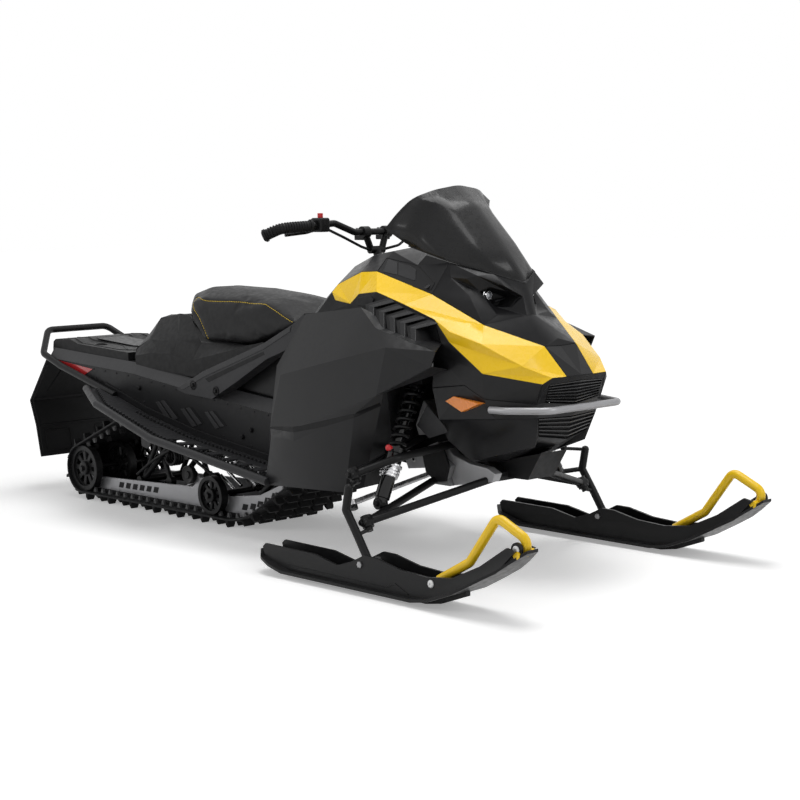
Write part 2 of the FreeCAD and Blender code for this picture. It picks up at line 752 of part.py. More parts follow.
def make_tunnel():
    points = {}
    facets = []
    for k, (x, top, band, low) in enumerate(tunnel_shares):
        side_share = half_width_shares["tunnel"]
        points["centre%d" % k] = place(x, 0, top)
        points["top%d" % k] = place(x, tunnel_top_share, top)
        points["band%d" % k] = place(x, side_share, band)
        points["low%d" % k] = place(x, side_share, low)
    for k in range(len(tunnel_shares) - 1):
        for upper, lower in (("centre", "top"), ("top", "band"), ("band", "low")):
            facets.append(["%s%d" % (upper, k), "%s%d" % (lower, k),
                           "%s%d" % (lower, k + 1), "%s%d" % (upper, k + 1)])
    facets = whole(points, facets)
    return moulding(points, inner_net(points, facets, tunnel_wall), facets)


def tunnel_solid():
    """The space under the tunnel's skin, for cutting what sits on it."""
    wires = []
    for x, top, band, low in tunnel_shares:
        side_share = half_width_shares["tunnel"]
        edge = [place(x, side_share, low), place(x, side_share, band), place(x, tunnel_top_share, top)]
        ring = edge + [left_of(p) for p in reversed(edge)]
        wires.append(Part.makePolygon(ring + ring[:1]))
    return Part.makeLoft(wires, True, True)


def crosswise(table):
    """A solid ruled between side outlines at several distances from the middle."""
    wires = []
    levels = sorted(table)
    for y in [-level for level in reversed(levels) if level] + levels:
        ring = [place(x, y, z) for x, z in table[abs(y)]]
        wires.append(Part.makePolygon(ring + ring[:1]))
    return Part.makeLoft(wires, True, True)


def make_flap():
    front = [place(x, 0, z) for x, z in flap_shares]
    back = []
    for k, p in enumerate(front):
        before, after = front[max(k - 1, 0)], front[min(k + 1, len(front) - 1)]
        way = after.sub(before).normalize()
        back.append(p.add(Vector(-way.z, 0, way.x) * flap_thickness))
    ring = front + list(reversed(back))
    face = Part.Face(Part.makePolygon(ring + ring[:1]))
    face.translate(Vector(0, -tunnel_half_width, 0))
    return face.extrude(Vector(0, 2 * tunnel_half_width, 0))


def make_board():
    """A running board: slotted deck between the tunnel and the edge tube."""
    points = {}
    facets = []
    for k, (outer, inner) in enumerate(zip(board_shares, board_inner_shares)):
        points["outer%d" % k] = place(*outer)
        points["inner%d" % k] = place(*inner)
    for k in range(len(board_shares) - 1):
        facets.append(["inner%d" % k, "outer%d" % k, "outer%d" % (k + 1), "inner%d" % (k + 1)])
    deck = moulding(points, inner_net(points, facets, board_thickness), facets)
    start, end = place(*board_shares[2]), place(*board_shares[3])
    run = end.x - start.x
    slots = []
    for k in range(board_slots):
        x = start.x + run * (k + 0.5) / board_slots
        y = (start.y - half["board"]) / 2
        low = Vector(x - board_slot_width / 2, y - board_slot_length / 2, 0)
        slots.append(Part.makeBox(board_slot_width, board_slot_length, start.z * 2, low))
    tube = bent_tube([place(*s) for s in board_shares], board_tube_radius, board_tube_radius * 3)
    return deck.cut(slots).fuse(tube)


def make_bumper():
    right = [place(*s) for s in bumper_shares]
    outside = tunnel_half_width + bumper_radius + bumper_room
    for p in right[:2]:
        p.y = -outside
    path = right + [left_of(p) for p in reversed(right)]
    return bent_tube(path, bumper_radius, bumper_bend)


def make_front_bumper():
    right = [place(*s) for s in front_bumper_shares]
    path = right + [left_of(p) for p in reversed(right)]
    return bent_tube(path, front_bumper_radius, front_bumper_radius * 4)


# Track loop: the wheels that the belt runs round, in its own order
loop_wheels = [
    (rear_wheel_x, rear_wheel_z, rear_wheel_radius),
    (bow_x, belt_floor + bow_radius, bow_radius),
    (drive_x, drive_z, drive_radius),
    (top_wheel_x, top_wheel_z, top_wheel_radius),
]


def loop_angles():
    """For each wheel, the angles at which the belt meets it and leaves it."""
    normals = []
    for (xa, za, ra), (xb, zb, rb) in zip(loop_wheels, loop_wheels[1:] + loop_wheels[:1]):
        distance = math.hypot(xb - xa, zb - za)
        heading = math.atan2(zb - za, xb - xa)
        normals.append(heading - math.acos((ra - rb) / distance))
    pairs = []
    for meets, leaves in zip(normals[-1:] + normals[:-1], normals):
        while leaves < meets:
            leaves += 2 * math.pi
        pairs.append((meets, leaves))
    return pairs


def on_wheel(wheel, angle, offset):
    x, z, radius = wheel
    reach = radius + offset
    return Vector(x + reach * math.cos(angle), 0, z + reach * math.sin(angle))


def loop_wire(offset):
    pairs = loop_angles()
    edges = []
    last = on_wheel(loop_wheels[-1], pairs[-1][1], offset)
    for wheel, (meets, leaves) in zip(loop_wheels, pairs):
        start = on_wheel(wheel, meets, offset)
        middle = on_wheel(wheel, (meets + leaves) / 2, offset)
        end = on_wheel(wheel, leaves, offset)
        edges.append(Part.LineSegment(last, start).toShape())
        edges.append(Part.Arc(start, middle, end).toShape())
        last = end
    return Part.Wire(edges)


def loop_places(offset, pitch):
    """Evenly spaced places on the loop, each with the angle that points out of the belt."""
    pairs = loop_angles()
    stretches = []
    last = on_wheel(loop_wheels[-1], pairs[-1][1], offset)
    for wheel, (meets, leaves) in zip(loop_wheels, pairs):
        start = on_wheel(wheel, meets, offset)
        stretches.append((start.distanceToPoint(last), None, last, start, meets, meets))
        reach = (wheel[2] + offset) * (leaves - meets)
        stretches.append((reach, wheel, last, start, meets, leaves))
        last = on_wheel(wheel, leaves, offset)
    total = sum(stretch[0] for stretch in stretches)
    count = round(total / pitch)
    print("track length", round(total), "pitches", count)
    places = []
    for k in range(count):
        s = total * k / count
        for length, wheel, start, end, first, second in stretches:
            if s <= length:
                break
            s -= length
        angle = first + (second - first) * s / length
        spot = on_wheel(wheel, angle, offset) if wheel else start + (end - start) * (s / length)
        places.append((spot, angle))
    return places


def make_track():
    edge = track_width / 2
    outer = Part.Face(loop_wire(belt_thickness)).extrude(Vector(0, track_width, 0))
    inner = Part.Face(loop_wire(0)).extrude(Vector(0, track_width, 0))
    belt = outer.cut(inner)
    belt.translate(Vector(0, -edge, 0))
    wide_shares = [(-0.98, -0.78), (-0.5, 0.5), (0.78, 0.98)]
    split_shares = [(-0.8, -0.3), (0.3, 0.8)]
    lugs = []
    for k, (spot, angle) in enumerate(loop_places(belt_thickness / 2, track_pitch)):
        out = Vector(math.cos(angle), 0, math.sin(angle))
        along = Vector(-out.z, 0, out.x)
        tip = spot.add(out * (belt_thickness / 2 + lug_height))
        outline = [
            spot.add(along * (-lug_root / 2)),
            spot.add(along * (lug_root / 2)),
            tip.add(along * (lug_tip / 2)),
            tip.add(along * (-lug_tip / 2)),
        ]
        face = Part.Face(Part.makePolygon(outline + outline[:1]))
        for low, high in (split_shares if k % 2 else wide_shares):
            paddle = face.extrude(Vector(0, (high - low) * edge, 0))
            paddle.translate(Vector(0, low * edge, 0))
            lugs.append(paddle)
    return belt.fuse(lugs)


# Rail outline: x as a share of the body's length, height above the belt as a share of rail_rise
rail_shares = [
    (-2.030, -0.2), (-1.150, -0.2), (-1.020, 0.30), (-0.985, 0.48), (-0.880, 1.11), (-0.856, 1.36),
    (-0.876, 1.50), (-1.015, 0.92), (-1.200, 0.66), (-1.290, 1.19), (-1.356, 1.19), (-1.407, 0.80),
    (-2.000, 0.57), (-2.045, 0.96), (-2.075, 0.96), (-2.078, 0.76),
]
rail_hole_shares = [(-1.860, 0.38), (-1.815, 0.39), (-1.770, 0.40), (-1.725, 0.41), (-1.680, 0.42),
                    (-1.635, 0.43), (-1.100, 0.40), (-1.055, 0.47), (-1.015, 0.60), (-0.975, 0.77),
                    (-0.935, 0.98)]


def make_rail():
    """A slide rail inside the belt: pierced plate with a boss round the rear axle."""
    near, far = -rail_offset - rail_thickness / 2, -rail_offset + rail_thickness / 2

    def spot(share):
        return Vector(share[0] * body_length, near, belt_floor + share[1] * rail_rise)

    points = [spot(share) for share in rail_shares]
    plate = Part.Face(Part.makePolygon(points + points[:1])).extrude(Vector(0, rail_thickness, 0))
    boss = cross_rod(rear_wheel_x, rear_wheel_z, near, far, axle_radius * 2)
    room = Part.Face(loop_wire(-part_gap)).extrude(Vector(0, rail_thickness, 0))
    room.translate(Vector(0, near, 0))
    holes = [cross_rod(spot(share).x, spot(share).z, near - cut_over, far + cut_over, rail_hole_radius)
             for share in rail_hole_shares]
    return fused([plate, boss]).common(room).cut(holes)


def wheel(x, z, y, radius):
    """A rail wheel: rim, web with a window between each pair of spokes, hub."""
    width = wheel_width / 2
    rim = radius * 0.8
    hub = radius * 0.3
    web = width * 0.3
    profile = [(0, -width), (hub, -width), (hub, -web), (rim, -web), (rim, -width), (radius, -width),
               (radius, width), (rim, width), (rim, web), (hub, web), (hub, width), (0, width)]
    ring = [Vector(x + r, y + w, z) for r, w in profile]
    face = Part.Face(Part.makePolygon(ring + ring[:1]))
    body = face.revolve(Vector(x, y, z), Vector(0, 1, 0), 360)
    windows = []
    for k in range(wheel_spokes):
        corners = []
        for reach, turn in ((hub * 1.25, -0.2), (rim * 0.94, -0.3), (rim * 0.94, 0.3), (hub * 1.25, 0.2)):
            angle = 2 * math.pi * (k + turn) / wheel_spokes
            corners.append(Vector(x + reach * math.cos(angle), y - width, z + reach * math.sin(angle)))
        window = Part.Face(Part.makePolygon(corners + corners[:1]))
        windows.append(window.extrude(Vector(0, wheel_width, 0)))
    return body.cut(windows)


def wheel_row(x, z, radius, offsets, shaft_half, shaft_radius):
    row = [wheel(x, z, y, radius - part_gap) for y in offsets]
    return fused([cross_rod(x, z, -shaft_half, shaft_half, shaft_radius)] + row)


# Suspension arms: where each leaves the tunnel and where it meets the rails
rear_arm_shares = [(-1.440, 0.372), (-1.760, 0.100)]
front_arm_shares = [(-0.840, 0.280), (-1.080, 0.095)]


def make_suspension_arm(shares):
    """Two bars between a cross tube on the tunnel's walls and one between the rails."""
    upper, lower = [place(x, 0, z) for x, z in shares]
    inner = rail_offset - rail_thickness / 2
    wall = tunnel_half_width - tunnel_wall
    bar = Vector(0, inner - susp_arm_radius * 1.6, 0)
    return fused([
        cross_rod(upper.x, upper.z, -wall, wall, susp_arm_radius),
        rod(upper.sub(bar), lower.sub(bar), susp_bar_radius),
        rod(upper.add(bar), lower.add(bar), susp_bar_radius),
        cross_rod(lower.x, lower.z, -inner, inner, susp_arm_radius),
    ])


# Steering joints and the bowed leg, as shares; the leg stands in the plane of the ski's middle
upper_joint_share = (-0.142, 0.470, 0.328)
lower_joint_share = (-0.066, 0.490, 0.194)
leg_shares = [(-0.092, 0.300), (-0.106, 0.232), (-0.057, 0.162)]
upper_eye = place(*upper_joint_share)
lower_eye = place(*lower_joint_share)
kingpin = upper_eye.sub(lower_eye).normalize()


def eye(middle):
    ring = rod(middle.sub(kingpin * eye_half), middle.add(kingpin * eye_half), eye_radius)
    bore = rod(middle.sub(kingpin * (eye_half + cut_over)), middle.add(kingpin * (eye_half + cut_over)),
               kingpin_radius + part_gap)
    return ring, bore


upper_front_share = (-0.054, 0.100, 0.396)
upper_rear_share = (-0.195, 0.100, 0.412)
upper_knee_share = (-0.068, 0.366, 0.372)
lower_front_share = (0.098, 0.100, 0.300)
lower_rear_share = (-0.118, 0.140, 0.280)
upper_brace_share = 0.45
lower_brace_share = 0.2
shock_low_share = (-0.098, 0.405, 0.236)
shock_top_share = (-0.132, 0.214, 0.588)
tie_outer_share = (-0.164, 0.460, 0.236)
tie_inner_share = (-0.194, 0.105, 0.280)


def make_arm(middle, front, rear, brace_share, knee=None):
    ring, bore = eye(middle)
    front_point, rear_point = place(*front), place(*rear)
    pieces = [ring, rod(middle, rear_point, arm_radius)]
    if knee:
        pieces.append(bent_tube([middle, place(*knee), front_point], arm_radius, arm_radius * 4))
    else:
        pieces.append(rod(middle, front_point, arm_radius))
    turn = place(*knee) if knee else front_point
    brace_front = middle.add((turn.sub(middle)) * brace_share)
    brace_rear = middle.add((rear_point.sub(middle)) * brace_share)
    pieces.append(rod(brace_front, brace_rear, arm_radius * 0.7))
    return fused(pieces).cut(bore)


def helix_coil(start, end, radius, wire, turns):
    """A coil spring of many short straight pieces with a six-sided wire."""
    way = end.sub(start)
    height = way.Length
    way.normalize()
    side = way.cross(Vector(0, 1, 0)).normalize()
    other = way.cross(side)
    per_turn, sides = 10, 6
    rings = []
    for k in range(turns * per_turn + 1):
        angle = 2 * math.pi * k / per_turn
        rise = wire + (height - 2 * wire) * k / (turns * per_turn)
        out = side * math.cos(angle) + other * math.sin(angle)
        middle = start + out * (radius - wire) + way * rise
        ring = []
        for m in range(sides):
            turn = 2 * math.pi * m / sides
            ring.append(middle + out * (wire * math.cos(turn)) + way * (wire * math.sin(turn)))
        rings.append(ring)
    faces = []
    for low, high in zip(rings, rings[1:]):
        for m in range(sides):
            n = (m + 1) % sides
            faces.append(triangle(low[m], low[n], high[n]))
            faces.append(triangle(low[m], high[n], high[m]))
    for ring in (rings[0], rings[-1]):
        for k in range(1, sides - 1):
            faces.append(triangle(ring[0], ring[k], ring[k + 1]))
    solid = Part.makeSolid(Part.makeShell(faces))
    if solid.Volume < 0:
        solid.reverse()
    return solid


def make_shock():
    """Damper body, collar and upper seat; the coil is its own solid between the seats."""
    low, top = place(*shock_low_share), place(*shock_top_share)
    way = top.sub(low).normalize()
    length = top.distanceToPoint(low)

    def at(share):
        return low.add(way * (length * share))

    body = fused([
        rod(low, at(0.32), shock_radius * 0.95),
        rod(at(0.32), at(0.40), shock_radius * 1.25),
        rod(at(0.40), at(0.44), spring_radius * 1.1),
        rod(at(0.44), at(0.94), shock_radius * 0.7),
        rod(at(0.94), at(0.975), spring_radius * 1.1),
        rod(at(0.975), top, shock_radius * 0.6),
    ])
    coil = helix_coil(at(0.44), at(0.94), spring_radius, spring_wire, spring_turns)
    return body, coil


def make_spindle():
    """Kingpin pins, the bowed leg outside the arms, the foot and the steering arm."""
    reach = eye_half + part_gap + lug_thickness / 2
    high = upper_eye.sub(kingpin * reach)
    low = lower_eye.sub(kingpin * reach)
    leg = [Vector(p.x, -ski_half, p.z) for p in [place(x, 0, z) for x, z in leg_shares]]
    foot = Vector(0, -ski_half, ski_bolt_z)
    half_lug = kingpin * (lug_thickness / 2)
    lug_radius = lug_thickness / 2 - part_gap
    pieces = [
        rod(high.sub(half_lug), upper_eye.add(kingpin * eye_half), kingpin_radius),
        rod(low.sub(half_lug), lower_eye.add(kingpin * eye_half), kingpin_radius),
        rod(high.sub(half_lug), high.add(half_lug), eye_radius * 0.65),
        rod(low.sub(half_lug), low.add(half_lug), eye_radius * 0.65),
        rod(high, leg[0], lug_radius),
        rod(low, leg[-1], lug_radius),
        cross_rod(0, ski_bolt_z, -ski_half - foot_half, -ski_half + foot_half, foot_radius),
    ]
    for start, end in zip(leg, leg[1:] + [foot]):
        pieces.append(Part.makeSphere(leg_radius, start))
        pieces.append(rod(start, end, leg_radius))
    ball = place(*tie_outer_share).sub(kingpin * (ball_half + part_gap + ball_radius / 2))
    pieces.append(rod(leg[1], ball, steer_arm_radius))
    ball_rise = kingpin * (ball_radius / 2)
    pieces.append(rod(ball.sub(ball_rise), ball.add(ball_rise), ball_radius))
    pieces.append(rod(ball, place(*tie_outer_share).add(kingpin * ball_half), ball_pin_radius))
    body = fused(pieces)
    bore = cross_rod(0, ski_bolt_z, -ski_half - foot_half - cut_over, -ski_half + foot_half + cut_over,
                     ski_bolt_radius + part_gap)
    return body.cut(bore)


def make_tie_rod():
    outer, inner = place(*tie_outer_share), place(*tie_inner_share)
    half_eye = kingpin * ball_half
    ring = rod(outer.sub(half_eye), outer.add(half_eye), ball_radius)
    over = kingpin * (ball_half + cut_over)
    bore = rod(outer.sub(over), outer.add(over), ball_pin_radius + part_gap)
    body = fused([ring, rod(outer, inner, tie_rod_radius)])
    return body.cut(bore)


# Ski side view: sole line and wall line, as shares
sole_shares = [(-0.476, 0.062), (-0.440, 0.042), (-0.335, 0.016), (0.240, 0.014), (0.303, 0.024),
               (0.403, 0.060), (0.480, 0.099), (0.558, 0.140), (0.649, 0.203)]
wall_shares = [(-0.452, 0.082), (-0.440, 0.093), (-0.206, 0.090), (-0.104, 0.070), (-0.037, 0.091),
               (0.015, 0.116), (0.067, 0.115), (0.168, 0.095), (0.281, 0.089), (0.381, 0.101),
               (0.490, 0.150), (0.590, 0.214), (0.622, 0.208)]
wall_rear_share = -0.450
wall_front_share = 0.620
ski_loop_shares = [(0.291, 0.078), (0.411, 0.144), (0.520, 0.285), (0.636, 0.232), (0.618, 0.196)]


def make_ski():
    """Upturned sole with a keel, two side walls and the bolt's saddle."""
    half_ski = ski_width / 2
    line = [place(x, 0, z) for x, z in sole_shares]
    top = [p.add(Vector(0, 0, sole_thickness)) for p in line]
    ring = line + list(reversed(top))
    face = Part.Face(Part.makePolygon(ring + ring[:1]))
    face.translate(Vector(0, -ski_half - half_ski, 0))
    sole = face.extrude(Vector(0, ski_width, 0))
    rear, front = line[0].x, ski_front_reach
    taper = ski_width * 0.8
    plan_shares = [(0, 0.45), (0.25, 0.8), (0.7, 1)]
    nose_shares = [(2.2, 1), (1.2, 0.86), (0.45, 0.62), (0, 0.3)]
    side = [Vector(rear + taper * along, across * half_ski, 0) for along, across in plan_shares]
    side += [Vector(front - taper * along, across * half_ski, 0) for along, across in nose_shares]
    plan = side + [left_of(p) for p in reversed(side)]
    plan = [p.sub(Vector(0, ski_half, 0)) for p in plan]
    sole = sole.common(plan_plate(plan, 0, ski_front_reach))
    keel_line = line[1:6]
    keel_low = [Vector(p.x, 0, max(p.z - line[3].z, 0)) for p in keel_line]
    keel_ring = keel_line + list(reversed(keel_low))
    keel = Part.Face(Part.makePolygon(keel_ring + keel_ring[:1]))
    keel.translate(Vector(0, -ski_half - keel_width / 2, 0))
    keel = keel.extrude(Vector(0, keel_width, 0))
    under = [place(x, 0, z) for x, z in sole_shares if wall_rear_share < x < wall_front_share]
    under = [p.add(Vector(0, 0, sole_thickness / 2)) for p in under]
    over = [place(x, 0, z) for x, z in wall_shares]
    wall_ring = under + list(reversed(over))
    walls = []
    for middle in (-ski_half - ski_wall_offset, -ski_half + ski_wall_offset):
        wall = Part.Face(Part.makePolygon(wall_ring + wall_ring[:1]))
        wall.translate(Vector(0, middle - ski_wall / 2, 0))
        walls.append(wall.extrude(Vector(0, ski_wall, 0)))
    bolt = cross_rod(0, ski_bolt_z, -ski_half - ski_wall_offset, -ski_half + ski_wall_offset,
                     ski_bolt_radius)
    return fused([sole, keel, bolt] + walls)


def make_ski_loop():
    path = [place(x, 0, z) for x, z in ski_loop_shares]
    loop = bent_tube(path, loop_radius, loop_radius * 2)
    reach = ski_wall_offset - ski_wall / 2
    front = cross_rod(path[-1].x, path[-1].z, -reach, reach, loop_radius * 0.8)
    rear = cross_rod(path[0].x, path[0].z, -reach, reach, loop_radius * 0.6)
    loop = fused([loop, front, rear])
    loop.translate(Vector(0, -ski_half, 0))
    return loop


# Handlebar path from the middle out, as shares
bar_shares = [(-0.540, 0.000, 1.046), (-0.538, 0.095, 1.047), (-0.552, 0.170, 1.078),
              (-0.565, 0.280, 1.070), (-0.597, 0.362, 1.064)]
grip_shares = [(-0.562, 0.262, 1.0715), (-0.597, 0.362, 1.064), (-0.640, 0.398, 1.040)]
steer_base_share = (-0.505, 0, 0.905)
steer_top_share = (-0.556, 0, 1.040)
steer_base = place(*steer_base_share)
steer_top = place(*steer_top_share)
steer_way = steer_top.sub(steer_base).normalize()
post_foot = steer_base.sub(steer_way * post_depth)


def make_handlebar():
    outer = [place(*s) for s in bar_shares]
    path = list(reversed(outer))[:-1] + [left_of(p) for p in outer[1:]]
    bar = bent_tube(path, bar_radius, bar_radius * 2.4)
    middle = outer[0]
    fork = steer_base.add(steer_way * riser_rise)
    pieces = [bar, rod(post_foot, fork, post_radius)]
    for y in (-riser_spacing, riser_spacing):
        riser_low = fork.add(Vector(0, y / 2, 0))
        riser_high = Vector(middle.x, y, middle.z)
        pieces.append(rod(riser_low, riser_high, post_radius * 0.8))
        pieces.append(cross_rod(middle.x, middle.z, y - clamp_half, y + clamp_half, bar_radius * 1.8))
    yoke = riser_spacing / 2 + post_radius / 2
    pieces.append(cross_rod(fork.x, fork.z, -yoke, yoke, post_radius * 0.9))
    return fused(pieces)


def make_grips():
    path = [place(*s) for s in grip_shares]
    grip = bent_tube(path, grip_radius, grip_radius * 1.6)
    return grip


# Hand controls
block_share = (-0.5585, 0.225, 1.074)
block_length = 52.0
block_width = 42.0
block_height = 46.0
button_radius = 9.0
button_height = 15.0
lever_radius = 5.5
cable_radius = 4.5
brake_lever_shares = [
    (-0.540, 0.228, 1.074), (-0.505, 0.245, 1.072), (-0.535, 0.350, 1.066), (-0.575, 0.405, 1.050),
]
thumb_lever_shares = [(-0.570, 0.228, 1.062), (-0.598, 0.250, 1.050), (-0.612, 0.330, 1.043)]
cable_shares = [
    (-0.548, 0.206, 1.060), (-0.530, 0.150, 1.032), (-0.518, 0.085, 1.000), (-0.536, 0.028, 0.987),
]
tail_lamp_half_width = 70.0
tail_lamp_height = 26.0
tail_lamp_depth = 14.0


def make_block(bar, grip):
    middle = place(*block_share)
    size = Vector(block_length, block_width, block_height)
    block = Part.makeBox(size.x, size.y, size.z, middle.sub(size * 0.5))
    block = block.makeFillet(block_height * 0.15, block.Edges)
    return block.cut([bar, grip])


def make_button():
    base = place(*block_share).add(Vector(0, 0, block_height / 2))
    return rod(base, base.add(Vector(0, 0, button_height)), button_radius)


def make_tail_lamp():
    deck_end = place(deck_shares[0][0], 0, deck_shares[0][1])
    low = deck_end.add(Vector(-tail_lamp_depth, -tail_lamp_half_width, 0))
    return Part.makeBox(tail_lamp_depth * 1.5, tail_lamp_half_width * 2, tail_lamp_height, low)


def make_all():
    os.makedirs("parts", exist_ok=True)
    body = make_body()
    tunnel = make_tunnel()
    hull = fused([tunnel_solid(), tunnel])
    save("tunnel", tunnel)
    deck = side_plate(deck_shares + deck_foot_shares, -half["deck"], half["deck"]).cut(hull)
    flap = make_flap().cut(hull)
    socket_top = place(*socket_share)
    socket_half = Vector(0, 0, socket_depth)
    socket = rod(socket_top.sub(socket_half), socket_top.add(socket_half), socket_radius)
    deck = deck.cut([flap] + both(socket))
    save("rear_deck", deck)
    save("snow_flap", flap)
    save("tail_lamp", make_tail_lamp().cut([deck, flap, hull]))
    step = crosswise(step_shares).cut([hull, deck])
    tank = side_plate(tank_shares, -half["tank"], half["tank"]).cut(hull)
    seat = crosswise(seat_shares)
    seat.translate(Vector(0, 0, part_gap * 2))
    seat = seat.cut([tank, step])
    step = step.cut([tank, seat])
    save("step_cover", step)
    save("seat", seat)
    bore = rod(post_foot, steer_top, post_radius + part_gap)
    body["console"] = body["console"].cut(bore)
    tank = tank.cut([body["console"], body["louver_panel"], mirrored(body["louver_panel"])])
    save("fuel_tank", tank)
    engine = side_plate(engine_shares, -half["engine"], half["engine"])
    core = side_plate(core_shares, -half["core"], half["core"])
    tower = side_plate(tower_shares, -half["tower"], half["tower"])
    skid = side_plate(skid_shares, -half["skid"], half["skid"])
    mount = place(*lower_front_share)
    cross = cross_rod(mount.x, mount.z, -half["core"], half["core"], arm_radius)
    core = fused([core, tower, skid, cross])
    engine = engine.cut([core, hull, tank])
    casting = side_plate(casting_shares, -half["casting"], -half["core"]).cut(core)
    block = side_plate(block_shares, -half["block"], -half["core"]).cut([core, casting])
    web = side_plate(web_shares, -half["web"], -half["core"]).cut(core)
    plate = side_plate(plate_shares, -half["plate"], -half["core"]).cut([core, block])
    belly = body["belly_nose"].cut([core, casting, mirrored(casting)])
    body["belly_nose"] = belly
    body["louver_panel"] = body["louver_panel"].cut(body["nose_side"])
    body["side_panel"] = body["side_panel"].cut([body["louver_panel"], body["nose_side"]])
    body["lower_panel"] = body["lower_panel"].cut([body["side_panel"], body["nose_side"]])
    panels = [body["side_panel"], body["lower_panel"], body["louver_panel"]]
    engine = engine.cut([p for q in panels for p in both(q)])
    save("engine", engine)
    body["lower_panel"] = body["lower_panel"].cut([core, web, plate, tower])
    save("frame_core", core)
    save("frame_castings", *both(casting))
    save("frame_brackets", *both(block), *both(web), *both(plate))
    strut = side_plate(strut_shares, -half["strut out"], -half["strut in"])
    strut = strut.cut([hull, tank, body["louver_panel"], body["side_panel"], body["console"], seat, step])
    strut = max(strut.Solids, key=lambda s: s.Volume)
    save("side_struts", *both(strut))
    board = make_board().cut(hull)
    bumper = make_bumper().cut([hull, deck, flap])
    board = board.cut([body["lower_panel"], body["side_panel"], bumper])
    save("running_boards", *both(board))
    save("rear_bumper", bumper)
    front_bumper = make_front_bumper()
    nose = [body[n] for n in ("nose_band", "grille_frame", "upper_grille", "lower_grille")]
    nose += both(body["nose_side"])
    front_bumper = max(front_bumper.cut(nose).Solids, key=lambda s: s.Volume)
    save("front_bumper", front_bumper)
    reflector = side_plate(reflector_shares, -half["reflector out"], -half["reflector in"])
    reflector = reflector.cut(body["nose_band"])
    save("side_reflectors", *both(min(reflector.Solids, key=lambda s: s.CenterOfMass.y)))
    wedge = side_plate(rear_reflector_shares, -tunnel_half_width - reflector_thickness, -tunnel_half_width)
    save("rear_reflectors", *both(wedge.cut(bumper)))
    shield = body["windshield"].cut([body["lamp_cowl"], body["console"]])
    body["windshield"] = max(shield.Solids, key=lambda s: s.Volume)
    save("grilles", body.pop("upper_grille"), body.pop("lower_grille"))
    for node, shape in body.items():
        if node in centre_panels or node == "windshield":
            save(node, shape)
        elif node in ("side_panel", "lower_panel"):
            save_pair(node, shape)
        else:
            save(node + "s", *both(shape))
    save("track", make_track())
    rail = make_rail()
    shaft_half = wheel_offset + wheel_width
    tunnel_room = tunnel_half_width - tunnel_wall
    outer_pair = [-wheel_offset, wheel_offset]
    rear_wheels = wheel_row(rear_wheel_x, rear_wheel_z, rear_wheel_radius, outer_pair + [0],
                            shaft_half, axle_radius)
    front_wheels = wheel_row(front_wheel_x, front_wheel_z, front_wheel_radius, outer_pair,
                             shaft_half, axle_radius)
    top_wheels = wheel_row(top_wheel_x, top_wheel_z, top_wheel_radius, outer_pair, tunnel_room, axle_radius)
    drive = wheel_row(drive_x, drive_z, drive_radius, [-sprocket_offset, sprocket_offset],
                      tunnel_room, drive_shaft_radius)
    rails = [r.cut([rear_wheels, front_wheels]) for r in both(rail)]
    save("slide_rails", *rails)
    save("rear_wheels", rear_wheels)
    save("front_wheels", front_wheels, top_wheels)
    save("drive_axle", drive)
    save("suspension_arms", make_suspension_arm(rear_arm_shares), make_suspension_arm(front_arm_shares))
    upper_arm = make_arm(upper_eye, upper_front_share, upper_rear_share, upper_brace_share,
                         upper_knee_share)
    lower_arm = make_arm(lower_eye, lower_front_share, lower_rear_share, lower_brace_share)
    frame = [core, casting, block, web, plate]
    shock, coil = make_shock()
    upper_arm = upper_arm.cut(frame)
    lower_arm = lower_arm.cut(frame)
    shock = shock.cut([lower_arm] + frame)
    save("upper_arms", *both(upper_arm))
    save("lower_arms", *both(lower_arm))
    save("front_shocks", *both(shock))
    save("front_springs", *both(coil.cut(shock)))
    save_pair("spindle", make_spindle())
    save_pair("tie_rod", make_tie_rod())
    ski = make_ski()
    save_pair("ski", ski)
    save_pair("ski_loop", make_ski_loop().cut(ski))
    bar = make_handlebar()
    grip = make_grips().cut(bar)
    save("handlebar", bar)
    grips = both(grip)
    save("grips", *grips)
    block = make_block(bar, grip)
    brake = mirrored(bent_tube([place(*s) for s in brake_lever_shares], lever_radius, lever_radius * 3))
    thumb = bent_tube([place(*s) for s in thumb_lever_shares], lever_radius, lever_radius * 2.5)
    blocks = [block.cut(thumb), mirrored(block).cut(brake)]
    thumb = thumb.cut([bar, grip])
    brake = brake.cut([bar, grips[1]])
    cable = bent_tube([place(*s) for s in cable_shares], cable_radius, cable_radius * 7)
    cables = [c.cut([bar, grips[0], grips[1]] + blocks + [thumb, brake]) for c in both(cable)]
    save("hand_controls", *blocks)
    save("hand_levers", thumb, brake)
    save("stop_button", make_button())
    save("control_cables", *[max(c.Solids, key=lambda s: s.Volume) for c in cables])


make_all()
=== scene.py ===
import bpy, bmesh, json, math
import numpy as np
from mathutils import Matrix, Vector
from mathutils.bvhtree import BVHTree

